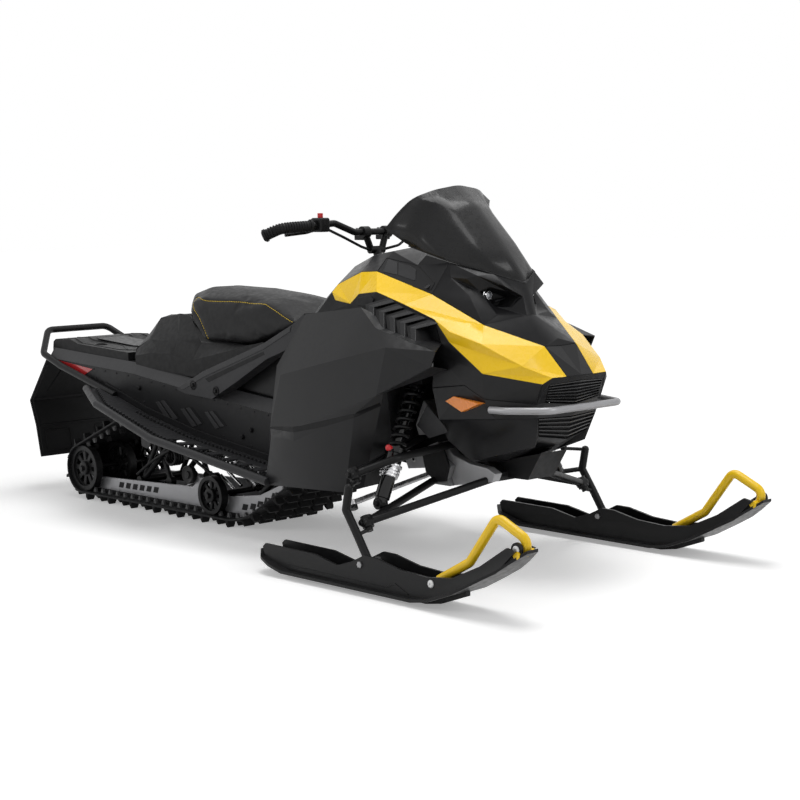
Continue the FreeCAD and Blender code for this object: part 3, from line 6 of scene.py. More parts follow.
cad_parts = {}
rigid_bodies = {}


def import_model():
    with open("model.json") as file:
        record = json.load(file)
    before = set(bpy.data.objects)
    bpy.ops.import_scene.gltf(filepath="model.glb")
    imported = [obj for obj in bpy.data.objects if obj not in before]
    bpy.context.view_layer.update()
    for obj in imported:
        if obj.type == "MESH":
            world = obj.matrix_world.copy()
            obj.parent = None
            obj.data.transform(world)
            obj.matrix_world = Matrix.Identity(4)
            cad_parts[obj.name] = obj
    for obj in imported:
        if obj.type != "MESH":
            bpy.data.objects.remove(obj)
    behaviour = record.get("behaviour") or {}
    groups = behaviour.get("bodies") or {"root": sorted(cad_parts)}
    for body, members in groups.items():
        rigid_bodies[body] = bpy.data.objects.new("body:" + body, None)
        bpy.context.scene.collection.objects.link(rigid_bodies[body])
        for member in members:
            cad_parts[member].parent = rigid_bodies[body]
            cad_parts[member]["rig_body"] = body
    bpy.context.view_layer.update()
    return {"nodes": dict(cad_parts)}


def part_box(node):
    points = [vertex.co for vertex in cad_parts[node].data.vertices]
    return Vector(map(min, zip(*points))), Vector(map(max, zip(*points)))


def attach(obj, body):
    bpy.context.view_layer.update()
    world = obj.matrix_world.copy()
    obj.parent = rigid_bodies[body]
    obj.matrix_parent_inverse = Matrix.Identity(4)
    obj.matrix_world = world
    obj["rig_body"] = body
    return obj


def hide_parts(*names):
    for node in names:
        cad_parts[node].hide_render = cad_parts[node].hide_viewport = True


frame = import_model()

nodes = frame["nodes"]
skiBolt = 0.8615  # the ski bolts lie this far ahead of the middle, and the tables below count from them
outward = (0, -1, 0)  # out of the right side


# A point of the right half, from its place counted from the ski bolts.
def at(x, y, z):
    return np.array([x + skiBolt, -y, z])


def spots(*rows):
    return np.array([at(*row) for row in rows])


# The same from (x, z) pairs on a plane beside the middle.
def sideSpots(side, rows):
    return np.array([at(x, side, z) for x, z in rows])


def mirrored(points):
    return np.asarray(points) * np.array([1, -1, 1])


# Finishes: every one is a node tree on Object coordinates.
def finishTree(name):
    material = bpy.data.materials.new(name)
    material.use_nodes = True
    tree = material.node_tree
    place = tree.nodes.new("ShaderNodeTexCoord").outputs["Object"]
    return material, tree, tree.nodes["Principled BSDF"], place


def noiseOn(tree, place, scale, detail, stretch=(1, 1, 1)):
    mapping = tree.nodes.new("ShaderNodeMapping")
    mapping.inputs["Scale"].default_value = stretch
    tree.links.new(place, mapping.inputs["Vector"])
    noise = tree.nodes.new("ShaderNodeTexNoise")
    noise.inputs["Scale"].default_value = scale
    noise.inputs["Detail"].default_value = detail
    tree.links.new(mapping.outputs["Vector"], noise.inputs["Vector"])
    return noise.outputs["Fac"]


# Blends from low to high over the middle of the noise's range.
def ramp(tree, value, low, high, ends=(0.35, 0.65)):
    node = tree.nodes.new("ShaderNodeValToRGB")
    for element, end, colour in zip(node.color_ramp.elements, ends, (low, high)):
        element.position, element.color = end, (*colour, 1)
    tree.links.new(value, node.inputs["Fac"])
    return node.outputs["Color"]


# What a finish has unless its own line says otherwise.
commonLook = {"worn": 1.12, "cloudScale": 9, "spread": 0.06, "mottleScale": 60, "metal": 0, "coat": 0,
              "coatRough": 0.08, "specular": 0.4, "darkSpecular": 0.17, "darkTone": 0.1,
              "grainScale": 900, "stretch": (1, 1, 1), "grainDepth": 0.0002, "grainStrength": 0.22}


# A base tone with cloudy wear, a rough-smooth mottle and a fine grain. Dark tones mirror less.
def plainFinish(name, own):
    look = {**commonLook, **own}
    material, tree, shader, place = finishTree(name)
    tone = np.array(look["tone"])
    worn = np.clip(tone * look["worn"], 0, 1)
    clouds = noiseOn(tree, place, look["cloudScale"], 4)
    tree.links.new(ramp(tree, clouds, tone, worn), shader.inputs["Base Color"])
    mottle = noiseOn(tree, place, look["mottleScale"], 3)
    smooth, rough = look["rough"] - look["spread"], look["rough"] + look["spread"]
    tree.links.new(ramp(tree, mottle, (smooth,) * 3, (rough,) * 3), shader.inputs["Roughness"])
    if max(tone) < look["darkTone"] and "specular" not in own:
        look["specular"] = look["darkSpecular"]
    for socket, key in (("Metallic", "metal"), ("Coat Weight", "coat"), ("Coat Roughness", "coatRough"),
                        ("Specular IOR Level", "specular")):
        shader.inputs[socket].default_value = look[key]
    bump = tree.nodes.new("ShaderNodeBump")
    bump.inputs["Distance"].default_value = look["grainDepth"]
    bump.inputs["Strength"].default_value = look["grainStrength"]
    tree.links.new(noiseOn(tree, place, look["grainScale"], 2, look["stretch"]), bump.inputs["Height"])
    tree.links.new(bump.outputs["Normal"], shader.inputs["Normal"])
    return material


looks = {
    "cowlBlack": {"tone": (0.0078, 0.0078, 0.0086), "rough": 0.34, "grainDepth": 0.00012},
    "panelGrey": {"tone": (0.0105, 0.0105, 0.0112), "rough": 0.34, "specular": 0.22, "grainScale": 420,
                  "grainDepth": 0.00008, "grainStrength": 0.15},
    # lower panels: a grey lighter than the side panels' grey; the extra lightness is painted reflection of
    # the white floor below them
    "lowerGrey": {"tone": (0.0175, 0.0175, 0.0185), "rough": 0.34, "grainDepth": 0.0001},
    "stripeYellow": {"tone": (0.96, 0.61, 0.012), "worn": 1.03, "rough": 0.28, "coat": 0.15, "specular": 0.3,
                     "grainStrength": 0.04},
    "loopYellow": {"tone": (0.96, 0.62, 0.012), "worn": 1.04, "rough": 0.34, "grainStrength": 0.15},
    "frameBlack": {"tone": (0.008, 0.008, 0.0085), "rough": 0.4, "grainScale": 500},
    "tubeGrey": {"tone": (0.022, 0.022, 0.0235), "rough": 0.42, "grainScale": 500},
    "tunnelBlack": {"tone": (0.0125, 0.0125, 0.0135), "rough": 0.4, "grainScale": 400, "grainDepth": 0.00015},
    "strutGrey": {"tone": (0.03, 0.03, 0.032), "rough": 0.4, "grainDepth": 0.00015},
    "bumperSilver": {"tone": (0.32, 0.32, 0.33), "rough": 0.4, "metal": 0.5, "worn": 1.08,
                     "grainDepth": 0.0001},
    "castSilver": {"tone": (0.38, 0.38, 0.39), "rough": 0.45, "metal": 0.35, "cloudScale": 12,
                   "grainScale": 320, "grainDepth": 0.0003},
    "bracketSilver": {"tone": (0.24, 0.24, 0.245), "worn": 1.25, "rough": 0.42, "metal": 0.45,
                      "cloudScale": 14, "grainScale": 320, "grainDepth": 0.0003},
    "railSilver": {"tone": (0.3, 0.3, 0.31), "rough": 0.36, "metal": 0.6, "cloudScale": 6,
                   "stretch": (0.2, 1, 3)},
    "polishedSteel": {"tone": (0.66, 0.66, 0.67), "rough": 0.2, "metal": 1, "grainStrength": 0.06},
    "rodSilver": {"tone": (0.48, 0.48, 0.49), "rough": 0.3, "metal": 0.8, "grainStrength": 0.08},
    "trackRubber": {"tone": (0.0075, 0.0075, 0.008), "rough": 0.6, "grainScale": 300, "grainDepth": 0.0005},
    "softRubber": {"tone": (0.0075, 0.0075, 0.008), "rough": 0.55, "grainScale": 500, "grainDepth": 0.0003},
    "flapRubber": {"tone": (0.0085, 0.0085, 0.009), "rough": 0.5, "grainScale": 350, "grainDepth": 0.0004},
    "deckPlastic": {"tone": (0.0062, 0.0062, 0.0067), "rough": 0.5, "grainScale": 700, "grainDepth": 0.0005},
    "skiPlastic": {"tone": (0.0105, 0.0105, 0.011), "rough": 0.36, "grainScale": 500},
    "wheelBlack": {"tone": (0.0125, 0.0125, 0.013), "rough": 0.42, "grainDepth": 0.00015},
    "shieldSmoke": {"tone": (0.01, 0.01, 0.0105), "rough": 0.3, "coat": 0.12, "worn": 1.05,
                    "grainDepth": 0.00001, "grainStrength": 0.02},
    "toothGrey": {"tone": (0.1, 0.1, 0.102), "rough": 0.4, "grainStrength": 0.2},
    "edgeGrey": {"tone": (0.045, 0.045, 0.047), "rough": 0.5, "grainStrength": 0.2},
    "lensGlass": {"tone": (0.3, 0.31, 0.33), "worn": 1.05, "rough": 0.06, "coat": 0.8, "metal": 0.3,
                  "grainStrength": 0.02},
    "ventBlack": {"tone": (0.0045, 0.0045, 0.005), "rough": 0.5},
    "slatGrey": {"tone": (0.014, 0.014, 0.015), "rough": 0.3, "specular": 0.4, "grainDepth": 0.0001},
    "bandGrey": {"tone": (0.042, 0.042, 0.044), "rough": 0.38, "grainDepth": 0.0001},
    "bladeGrey": {"tone": (0.02, 0.02, 0.0215), "rough": 0.34, "grainDepth": 0.0001},
    "ribBlack": {"tone": (0.0095, 0.0095, 0.0105), "rough": 0.24, "coat": 0.2, "grainDepth": 0.00005},
    "glossBlack": {"tone": (0.0045, 0.0045, 0.005), "rough": 0.12, "coat": 0.4, "grainStrength": 0.03},
    "buttonRed": {"tone": (0.62, 0.025, 0.03), "worn": 1.1, "rough": 0.3, "grainStrength": 0.1},
    "lampRed": {"tone": (0.42, 0.018, 0.02), "worn": 1.2, "rough": 0.15, "coat": 0.5, "grainStrength": 0.1},
    "reflectorOrange": {"tone": (0.86, 0.25, 0.02), "worn": 1.1, "rough": 0.25, "coat": 0.5,
                        "grainStrength": 0.1},
    "boltWhite": {"tone": (0.7, 0.7, 0.7), "worn": 1.1, "rough": 0.35, "metal": 0.3, "grainStrength": 0.1},
    "boltSteel": {"tone": (0.25, 0.25, 0.255), "worn": 1.2, "rough": 0.3, "metal": 0.8, "grainStrength": 0.1},
    "castIron": {"tone": (0.03, 0.03, 0.032), "rough": 0.55, "grainScale": 300, "grainDepth": 0.0006},
    "stitchYellow": {"tone": (0.56, 0.38, 0.02), "worn": 1.1, "rough": 0.6, "grainStrength": 0.2},
    "seatBlack": {"tone": (0.0095, 0.0095, 0.01), "rough": 0.48, "grainScale": 650, "grainDepth": 0.0004},
    "gripRubber": {"tone": (0.0065, 0.0065, 0.007), "rough": 0.6, "grainDepth": 0.0003},
}
finishes = {name: plainFinish(name, look) for name, look in looks.items()}
print("finishes made")


def placed(name, data):
    thing = bpy.data.objects.new(name, data)
    bpy.context.scene.collection.objects.link(thing)
    return thing


# Quads between neighbours of a rows x columns grid of points.
def closeFaces(rows, columns, wrapRows, wrapColumns):
    i = np.arange(rows if wrapRows else rows - 1)
    j = np.arange(columns if wrapColumns else columns - 1)
    i, j = [a.ravel() for a in np.meshgrid(i, j, indexing="ij")]
    k, m = (i + 1) % rows, (j + 1) % columns
    return np.stack([i * columns + j, i * columns + m, k * columns + m, k * columns + j], axis=1).tolist()


sameSpot = 1e-6  # corners of a piece closer than this are one point


# One object from several (points, faces) parts, finished and set on the body of its slot's node.
def piece(name, parts, finish, slot, replaces=False, smooth=True, bevel=0, crease=35):
    faces, start = [], 0
    for points, quads in parts:
        faces += [tuple(v + start for v in quad) for quad in quads]
        start += len(points)
    mesh = bpy.data.meshes.new(name)
    mesh.from_pydata(np.concatenate([points for points, _ in parts]).tolist(), [], faces)
    mesh.validate()
    work = bmesh.new()
    work.from_mesh(mesh)
    bmesh.ops.remove_doubles(work, verts=work.verts, dist=sameSpot)
    bmesh.ops.recalc_face_normals(work, faces=work.faces)
    work.to_mesh(mesh)
    work.free()
    return dress(placed(name, mesh), finish, slot, replaces, smooth, bevel, crease)


edgeLook = {"segments": 2, "angle": 25}


def dress(thing, finish, slot, replaces, smooth, bevel, crease):
    mesh = thing.data
    mesh.materials.clear()
    mesh.materials.append(finishes[finish])
    mesh.polygons.foreach_set("use_smooth", np.full(len(mesh.polygons), smooth))
    if smooth:
        mesh.set_sharp_from_angle(angle=math.radians(crease))
    if bevel:
        edge = thing.modifiers.new("edge", "BEVEL")
        edge.width, edge.segments, edge.limit_method = bevel, edgeLook["segments"], "ANGLE"
        edge.angle_limit = math.radians(edgeLook["angle"])
        edge.harden_normals = True
    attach(thing, nodes[slot]["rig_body"])
    if replaces:
        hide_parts(slot)
    return thing


def addWall(thing, thickness, offset):
    wall = thing.modifiers.new("wall", "SOLIDIFY")
    wall.thickness, wall.offset = thickness, offset


mergeGap = 2e-5  # points of a CAD node closer than this are one point
flatAngle = math.radians(0.5)  # neighbours that turn less than this are one face


# A copy of a CAD node with its loose triangles merged, and its flat fields joined where that is asked for.
def solidCopy(nodeName, name, joinFlat):
    work = bmesh.new()
    work.from_mesh(nodes[nodeName].data)
    bmesh.ops.remove_doubles(work, verts=work.verts, dist=mergeGap)
    if joinFlat:
        bmesh.ops.dissolve_limit(work, angle_limit=flatAngle, verts=work.verts, edges=work.edges)
    mesh = bpy.data.meshes.new(name)
    work.to_mesh(mesh)
    work.free()
    return placed(name, mesh)


def treeOf(mesh):
    return BVHTree.FromPolygons([v.co for v in mesh.vertices], [tuple(p.vertices) for p in mesh.polygons])


# Shape helpers: each gives (points, faces), and piece() joins them into one object.
def unit(v):
    v = np.asarray(v, float)
    return v / np.linalg.norm(v, axis=-1, keepdims=True)


# Two directions square to an axis.
def squareTo(axis):
    across = unit(np.cross(axis, (0, 0, 1) if abs(axis[2]) < 0.9 else (1, 0, 0)))
    return np.array([across, np.cross(across, axis)])


def circle(radius, sides):
    turn = np.linspace(0, 2 * math.pi, sides, endpoint=False)
    return np.stack([np.cos(turn), np.sin(turn)], axis=1) * radius


# Rings of points joined to a tube, with its ends closed unless it meets itself.
def tube(points, closed=False):
    rows, columns = points.shape[:2]
    faces = closeFaces(rows, columns, closed, True)
    if not closed:
        faces += [list(range(columns)), list(range((rows - 1) * columns, rows * columns))]
    return points.reshape(-1, 3), faces


# Point (i, j) = path i + across j times the side direction + up j times the rise direction.
def sweep(path, outline, up=(0, 0, 1), closed=False):
    outline = np.asarray(outline, float)
    ahead = np.roll(path, -1, 0) - np.roll(path, 1, 0) if closed else np.gradient(path, axis=0)
    side = unit(np.cross(ahead, np.array(up, float)))
    rise = unit(np.cross(side, ahead))
    return tube(path[:, None] + outline[..., :1] * side[:, None] + outline[..., 1:] * rise[:, None], closed)


# A low bar's outline: a foot of half a width at one height, and a narrower top at another.
def barOutline(half, low, top, high):
    corners = [(-half, low), (half, low), (top, high), (-top, high)]
    return np.stack([np.stack(np.broadcast_arrays(*corner), axis=-1) for corner in corners], axis=-2)


# A smooth line through guide points: each span is a cubic of its four nearest guides.
def smoothPath(guides, steps=6):
    padded = np.concatenate([2 * guides[:1] - guides[1:2], guides, 2 * guides[-1:] - guides[-2:-1]])
    t = np.linspace(0, 1, steps, endpoint=False)[None, :, None]
    a, b, c, d = (padded[k:len(padded) - 3 + k, None] for k in range(4))
    bend, twist = 2 * a - 5 * b + 4 * c - d, 3 * b - a - 3 * c + d
    line = (2 * b + (c - a) * t + bend * t ** 2 + twist * t ** 3) / 2
    return np.concatenate([line.reshape(-1, 3), guides[-1:]])


# Rings of a radius at distances along an axis: point = start + along * axis + radius * (cos, sin).
def turned(start, axis, profile, sides):
    axis = unit(axis)
    profile = np.asarray(profile, float)
    ring = circle(1, sides) @ squareTo(axis)
    return tube(start + profile[:, :1, None] * axis + profile[:, 1:, None] * ring)


# Fastener profiles, in shares of their size.
washerProfile = np.array([(-1, 0.62), (0.13, 0.62)])
hexagonProfile = np.array([(0, 0.48), (0.42, 0.48), (0.5, 0.38)])
buttonProfile = np.array([(-0.6, 0.5), (0.1, 0.5), (0.26, 0.38), (0.3, 0.22), (0.14, 0.2), (0.14, 0.02)])


# A washer and a hexagon with a chamfer, standing on a spot.
def bolt(spot, axis, size):
    return [turned(spot, axis, washerProfile * size, 18), turned(spot, axis, hexagonProfile * size, 6)]


# A flat outline given a thickness along a direction.
def plate(outline, way):
    outline = np.asarray(outline, float)
    return tube(np.stack([outline, outline + np.array(way)]))


def box(low, high):
    (a, b, c), (d, e, f) = low, high
    return plate([(a, b, c), (d, b, c), (d, e, c), (a, e, c)], (0, 0, f - c))


# A wire wound round an axis: point = start + s * axis * length + radius * (cos, sin) of the turns.
def coil(start, end, radius, wire, turns, perTurn=20, sides=8):
    axis = unit(end - start)
    s = np.linspace(0, 1, turns * perTurn + 1)[:, None]
    turn = s * turns * 2 * math.pi
    ring = np.concatenate([np.cos(turn), np.sin(turn)], axis=1) @ squareTo(axis)
    path = start + s * (end - start) + radius * ring
    return sweep(path, circle(wire, sides), axis)


def bothSides(parts):
    return parts + [(mirrored(points), faces) for points, faces in parts]


# Even steps along a polyline, with the direction at each from points a millimetre before and after it.
def spaced(line, step=None, count=None, closed=False):
    if closed:
        line = np.concatenate([line, line[:1]])
    reach = np.concatenate([[0], np.cumsum(np.linalg.norm(np.diff(line, axis=0), axis=1))])
    length = reach[-1]
    where = np.linspace(0, length, count or max(2, round(length / step)), endpoint=not closed)

    def pointAt(distance):
        distance = distance % length if closed else distance
        return np.stack([np.interp(distance, reach, line[:, k]) for k in range(3)], axis=1)

    return pointAt(where), pointAt(where + 0.001) - pointAt(where - 0.001)


# Copies of one small shape at every spot: point = spot + a * ahead + b * side + c * out.
def copies(spot, ahead, side, out, shape, faces):
    a, b, c = (shape[:, k:k + 1] for k in range(3))
    points = spot[:, None] + a * ahead[:, None] + b * side[:, None] + c * out[:, None]
    faces = [[v + k * len(shape) for v in face] for face in faces for k in range(len(spot))]
    return points.reshape(-1, 3), faces


# Copies along a line beside the middle, moved sideways by a shift.
def along(spot, ahead, shape, faces, shift=0):
    ahead = unit(ahead)
    side = np.array([0, 1.0, 0]) + 0 * ahead
    return copies(spot + np.array([0, shift, 0]), ahead, side, np.cross(side, ahead), shape, faces)


# Drops a line onto the surface of CAD nodes along a direction, and lifts it by a hair.
def laid(nodeNames, line, way, lift, step, reach=0.12):
    trees = [treeOf(nodes[nodeName].data) for nodeName in nodeNames.split()]
    way, found = unit(way), []
    for spot in spaced(line, step)[0]:
        hits = [tree.ray_cast(Vector(spot - way * reach), Vector(way)) for tree in trees]
        hits = [hit for hit in hits if hit[0] is not None]
        if hits:
            place, normal, _, _ = min(hits, key=lambda hit: hit[3])
            found.append(np.array(place) + np.array(normal) * lift)
    return np.array(found)


# CAD nodes that keep their shape get softened edges: finish, edge width, nodes.
softened = {
    "cowlBlack": {0.0025: "lamp_cowl nose_panel", 0.003: "console", 0.004: "fuel_tank", 0.006: "belly_nose"},
    "stripeYellow": {0.002: "side_stripes"},
    "ventBlack": {0.002: "grille_frame louver_panels"},
    "panelGrey": {0.0025: "nose_sides nose_band side_panel_right side_panel_left"},
    # the lower panels' grey holds a painted reflection of the floor
    "lowerGrey": {0.0025: "lower_panel_right lower_panel_left"},
    "tunnelBlack": {0.0015: "tunnel"},
    "deckPlastic": {0.003: "rear_deck", 0.006: "step_cover"},
    "flapRubber": {0.003: "snow_flap"},
    "lampRed": {0.0005: "rear_reflectors", 0.002: "tail_lamp"},
    "reflectorOrange": {0.001: "side_reflectors"},
    "strutGrey": {0.002: "side_struts"},
    "tubeGrey": {0.001: "running_boards"},
    "bumperSilver": {0.001: "front_bumper"},
    "frameBlack": {0: "front_springs", 0.002: "frame_core",
                   0.001: "rear_bumper suspension_arms upper_arms lower_arms spindle_right spindle_left "
                          "handlebar hand_controls hand_levers"},
    "castSilver": {0.003: "frame_castings"},
    "bracketSilver": {0.002: "frame_brackets"},
    "castIron": {0.006: "engine"},
    "railSilver": {0.001: "slide_rails"},
    "wheelBlack": {0.001: "rear_wheels front_wheels drive_axle"},
    "glossBlack": {0.001: "front_shocks"},
    "rodSilver": {0.001: "tie_rod_right tie_rod_left"},
    "skiPlastic": {0.002: "ski_right ski_left"},
    "loopYellow": {0.001: "ski_loop_right ski_loop_left"},
    "softRubber": {0: "control_cables", 0.001: "grips"},
    "buttonRed": {0.001: "stop_button"},
}
ownNames = {"lamp_cowl": "cowlCap", "nose_panel": "nosePlate", "nose_sides": "noseCheeks",
            "belly_nose": "bellyShell", "console": "consoleShell", "fuel_tank": "tankShell",
            "grille_frame": "grilleSurround", "louver_panels": "louverBacks", "tunnel": "tunnelShell",
            "engine": "engineBlock", "handlebar": "handlebarTube", "grips": "handGrips"}
creases = {"belly_nose": 55, "lamp_cowl": 35, "fuel_tank": 50, "frame_castings": 50}

for finish, widths in softened.items():
    for bevel, nodeName in [(width, nodeName) for width in widths for nodeName in widths[width].split()]:
        first, *others = nodeName.split("_")
        name = ownNames.get(nodeName, first + "".join(word.title() for word in others))
        thing = solidCopy(nodeName, name, True)
        dress(thing, finish, nodeName, True, True, bevel, creases.get(nodeName, 30))
print("cad nodes dressed")


# Windshield: flat fields (rows of four or three corners) with rounded creases, a wall and a bead on the rim.
shieldLook = {
    "corners": {"front": (0.133, 0, 0.893), "lowA": (0.088, 0.095, 0.926), "lowB": (-0.055, 0.15, 0.966),
                "lowC": (-0.197, 0.178, 1.01), "tip": (-0.253, 0.225, 1.063),
                "ridgeLow": (-0.065, 0.14, 0.985), "ridge": (-0.15, 0.158, 1.06),
                "ridgeTop": (-0.16, 0.138, 1.126), "rearUp": (-0.226, 0.195, 1.113),
                "rearTop": (-0.19, 0.165, 1.157), "crest": (-0.15, 0, 1.196),
                "crestSide": (-0.157, 0.1, 1.182), "middle": (0.03, 0, 1.02),
                "middleSide": (0.01, 0.095, 1.015), "upper": (-0.07, 0, 1.128),
                "upperSide": (-0.085, 0.095, 1.105)},
    "fields": ["front lowA middleSide middle", "lowA lowB ridgeLow middleSide",
               "middle middleSide upperSide upper", "middleSide ridgeLow ridge upperSide",
               "upperSide ridge ridgeTop", "upper upperSide crestSide crest",
               "upperSide ridgeTop rearTop crestSide", "ridgeLow lowB lowC ridge", "ridge lowC tip rearUp",
               "ridge rearUp rearTop ridgeTop"],
    "wall": 0.003, "round": 0.022, "roundSteps": 4, "roundAngle": 5,
    "rim": [(0.133, 0.002, 0.893), (0.088, 0.095, 0.926), (-0.055, 0.15, 0.966), (-0.197, 0.178, 1.01)],
    "rimShift": (0, 0.0015, -0.0015), "rimStep": 0.02, "bead": 0.0024}


def makeWindshield(look):
    names = list(look["corners"])
    faces = [[names.index(name) for name in field.split()] for field in look["fields"]]
    shell = (spots(*look["corners"].values()), faces)
    thing = piece("windshieldShell", bothSides([shell]), "shieldSmoke", "windshield", True, crease=60)
    rounded = thing.modifiers.new("round", "BEVEL")
    rounded.width, rounded.segments, rounded.limit_method = look["round"], look["roundSteps"], "ANGLE"
    rounded.angle_limit = math.radians(look["roundAngle"])
    addWall(thing, look["wall"], -1)
    rim, _ = spaced(spots(*look["rim"]), look["rimStep"])
    bead = sweep(rim + look["rimShift"], circle(look["bead"], 8))
    piece("shieldBead", bothSides([bead]), "softRubber", "windshield")


makeWindshield(shieldLook)


# Lamp pocket: the rim of the opening carried back and drawn in, with the projector inside it.
# Rings are (share of the depth, share of the rim's size), the barrel (share of its reach, of its radius).
lampLook = {
    "rim": spots((0.051, 0.115, 0.869), (0.079, 0.1, 0.886), (0.116, 0.055, 0.871), (0.125, 0.022, 0.851),
                 (0.119, 0.05, 0.819), (0.09, 0.09, 0.82)),
    "rings": [(0, 1), (0.02, 0.94), (0.5, 0.86), (1, 0.8)], "depth": 0.047, "wall": 0.0015,
    "projector": (0.032, 0.096, 0.859), "radius": 0.0135, "reach": 0.04, "sides": 32,
    "barrel": [(0, 1.1), (0.3, 1.1), (0.32, 0.95), (0.62, 0.95), (0.64, 1.12), (0.72, 1.12), (0.74, 1),
               (1, 0.96), (1, 0.84), (0.9, 0.82)],
    "lensStart": 0.88, "lensBulge": 0.45, "lensRadius": 0.82, "lensTip": 1e-5,
    "fin": [(0.04, 0.026, 0.846), (0.04, 0.08, 0.838), (0.04, 0.08, 0.842), (0.04, 0.026, 0.85)],
    "finCount": 4, "finStep": 0.012, "finDepth": 0.006}


def makeLamps(look):
    rim = look["rim"]
    middle = rim.mean(axis=0)
    rings = [middle + (rim - middle) * size - (share * look["depth"], 0, 0) for share, size in look["rings"]]
    points, faces = tube(np.array(rings))
    faces.pop(-2)  # the pocket is open at the rim
    pockets = piece("lampPockets", bothSides([(points, faces)]), "ventBlack", "headlamps", True, smooth=False)
    addWall(pockets, look["wall"], 1)
    start, radius, reach, ahead = at(*look["projector"]), look["radius"], look["reach"], (1, 0, 0)
    barrel = turned(start, ahead, np.array(look["barrel"]) * (reach, radius), look["sides"])
    piece("lampBarrels", bothSides([barrel]), "polishedSteel", "headlamps")
    bulge = np.linspace(0, math.pi / 2, 7)
    dome = np.stack([np.sin(bulge) * look["lensBulge"], np.cos(bulge) * look["lensRadius"]], axis=1) * radius
    dome[:, 1] += look["lensTip"]  # the last ring stays open by a hair
    lens = turned(start + (reach * look["lensStart"], 0, 0), ahead, dome, look["sides"])
    piece("lampLenses", bothSides([lens]), "lensGlass", "headlamps")
    fins = [plate(spots(*look["fin"]) + (look["finStep"] * k, 0, 0), (look["finDepth"], 0, 0))
            for k in range(look["finCount"])]
    piece("lampFins", bothSides(fins), "bladeGrey", "headlamps", smooth=False)


makeLamps(lampLook)


# Cooling ribs: one bent blade, repeated with a fixed step along the opening, and a cover behind the first.
ribLook = {
    "corners": spots((-0.186, 0.2688, 0.854), (-0.158, 0.2748, 0.84), (-0.207, 0.3188, 0.824),
                     (-0.17, 0.3538, 0.775), (-0.202, 0.3538, 0.783), (-0.247, 0.3188, 0.831)),
    "step": np.array([0.046, 0, -0.0148]), "count": 5, "width": 0.62, "lift": np.array([0, -0.0007, 0.0005]),
    "thick": (0, 0.003, -0.002), "bevel": 0.0022, "coverThick": (0, 0.004, 0), "coverBevel": 0.0012,
    "cover": spots((-0.348, 0.26, 0.846), (-0.285, 0.269, 0.856), (-0.258, 0.273, 0.845),
                   (-0.272, 0.271, 0.822), (-0.34, 0.269, 0.822))}


def makeRibs(look):
    blades = []
    for k in range(look["count"]):
        a, b, c, d, e, f = look["corners"] + look["step"] * k + look["lift"]
        a, f, e = b + (a - b) * look["width"], c + (f - c) * look["width"], d + (e - d) * look["width"]
        blades += [plate([a, b, c, f], look["thick"]), plate([f, c, d, e], look["thick"])]
    piece("coolingRibs", bothSides(blades), "ribBlack", "louver_panels", smooth=False, bevel=look["bevel"])
    cover = plate(look["cover"], look["coverThick"])
    piece("ribCover", bothSides([cover]), "deckPlastic", "louver_panels", smooth=False,
          bevel=look["coverBevel"])


makeRibs(ribLook)


# Console inlay: two plates in a frame and a round key cover, laid on the console's slopes.
inlayLook = {
    "plates": [[(-0.2876, 0.2031, 0.9264), (-0.306, 0.161, 0.964), (-0.269, 0.159, 0.956),
                (-0.2331, 0.1941, 0.9178)],
               [(-0.227, 0.1935, 0.916), (-0.261, 0.1585, 0.9535), (-0.213, 0.156, 0.946),
                (-0.18, 0.161, 0.934), (-0.158, 0.1885, 0.9007)]],
    "frame": [(-0.306, 0.21, 0.917), (-0.318, 0.16, 0.97), (-0.23, 0.15, 0.956),
              (-0.174, 0.154, 0.945), (-0.076, 0.183, 0.896), (-0.08, 0.196, 0.876),
              (-0.1046, 0.2019, 0.8748), (-0.2577, 0.21, 0.908)],
    "way": np.array([0.05, 0.72, -0.69]), "frameUp": (0.3, -0.7, 0.6), "frameWire": 0.0016,
    "plateLift": 0.0016, "plateStep": 0.006, "plateThick": 0.003, "frameLift": 0.0002, "frameStep": 0.005,
    "bevel": 0.0006, "key": [(-0.1, 0.1915, 0.885), (-0.099, 0.1915, 0.885)], "keyStep": 0.008,
    "keyProfile": [(-0.002, 0.0095), (0.0022, 0.0095), (0.0028, 0.0085), (0.0018, 0.0075), (0.0018, 0.001)]}


def makeInlay(look):
    way, shells = look["way"], []
    for corners in look["plates"]:
        outline = laid("console", spots(*corners, corners[0]), way, look["plateLift"], look["plateStep"])[:-1]
        shells.append(plate(outline, way * look["plateThick"]))
    piece("consolePlates", bothSides(shells), "bladeGrey", "console", smooth=False, bevel=look["bevel"])
    line = laid("console", spots(*look["frame"], look["frame"][0]), way, look["frameLift"], look["frameStep"])
    frameLine = sweep(line, circle(look["frameWire"], 6), look["frameUp"])
    piece("consoleFrame", bothSides([frameLine]), "ventBlack", "console")
    spot = laid("console", spots(*look["key"]), way, 0, look["keyStep"])[0]
    piece("keyCover", bothSides([turned(spot, -way, look["keyProfile"], 24)]), "bladeGrey", "console")


makeInlay(inlayLook)
print("windshield, lamps, ribs and console made")


# Grilles: a dark back and thin slats between the outer and the middle edge of each opening, which is its
# four corners and its number of slats.
grilleLook = {
    "openings": [
        (spots((0.333, 0.12, 0.604), (0.349, 0, 0.61), (0.327, 0, 0.537), (0.315, 0.118, 0.55)), 7),
        (spots((0.298, 0.13, 0.502), (0.312, 0, 0.498), (0.296, 0, 0.429), (0.279, 0.11, 0.445)), 5)],
    "inset": np.array([-0.0035, 0, 0]), "backThick": (-0.003, 0, 0), "start": 0.25, "rise": 0.32,
    "lift": np.array([0.006, 0, 0]), "slatThick": (-0.01, 0, 0.002), "bevel": 0.0006}


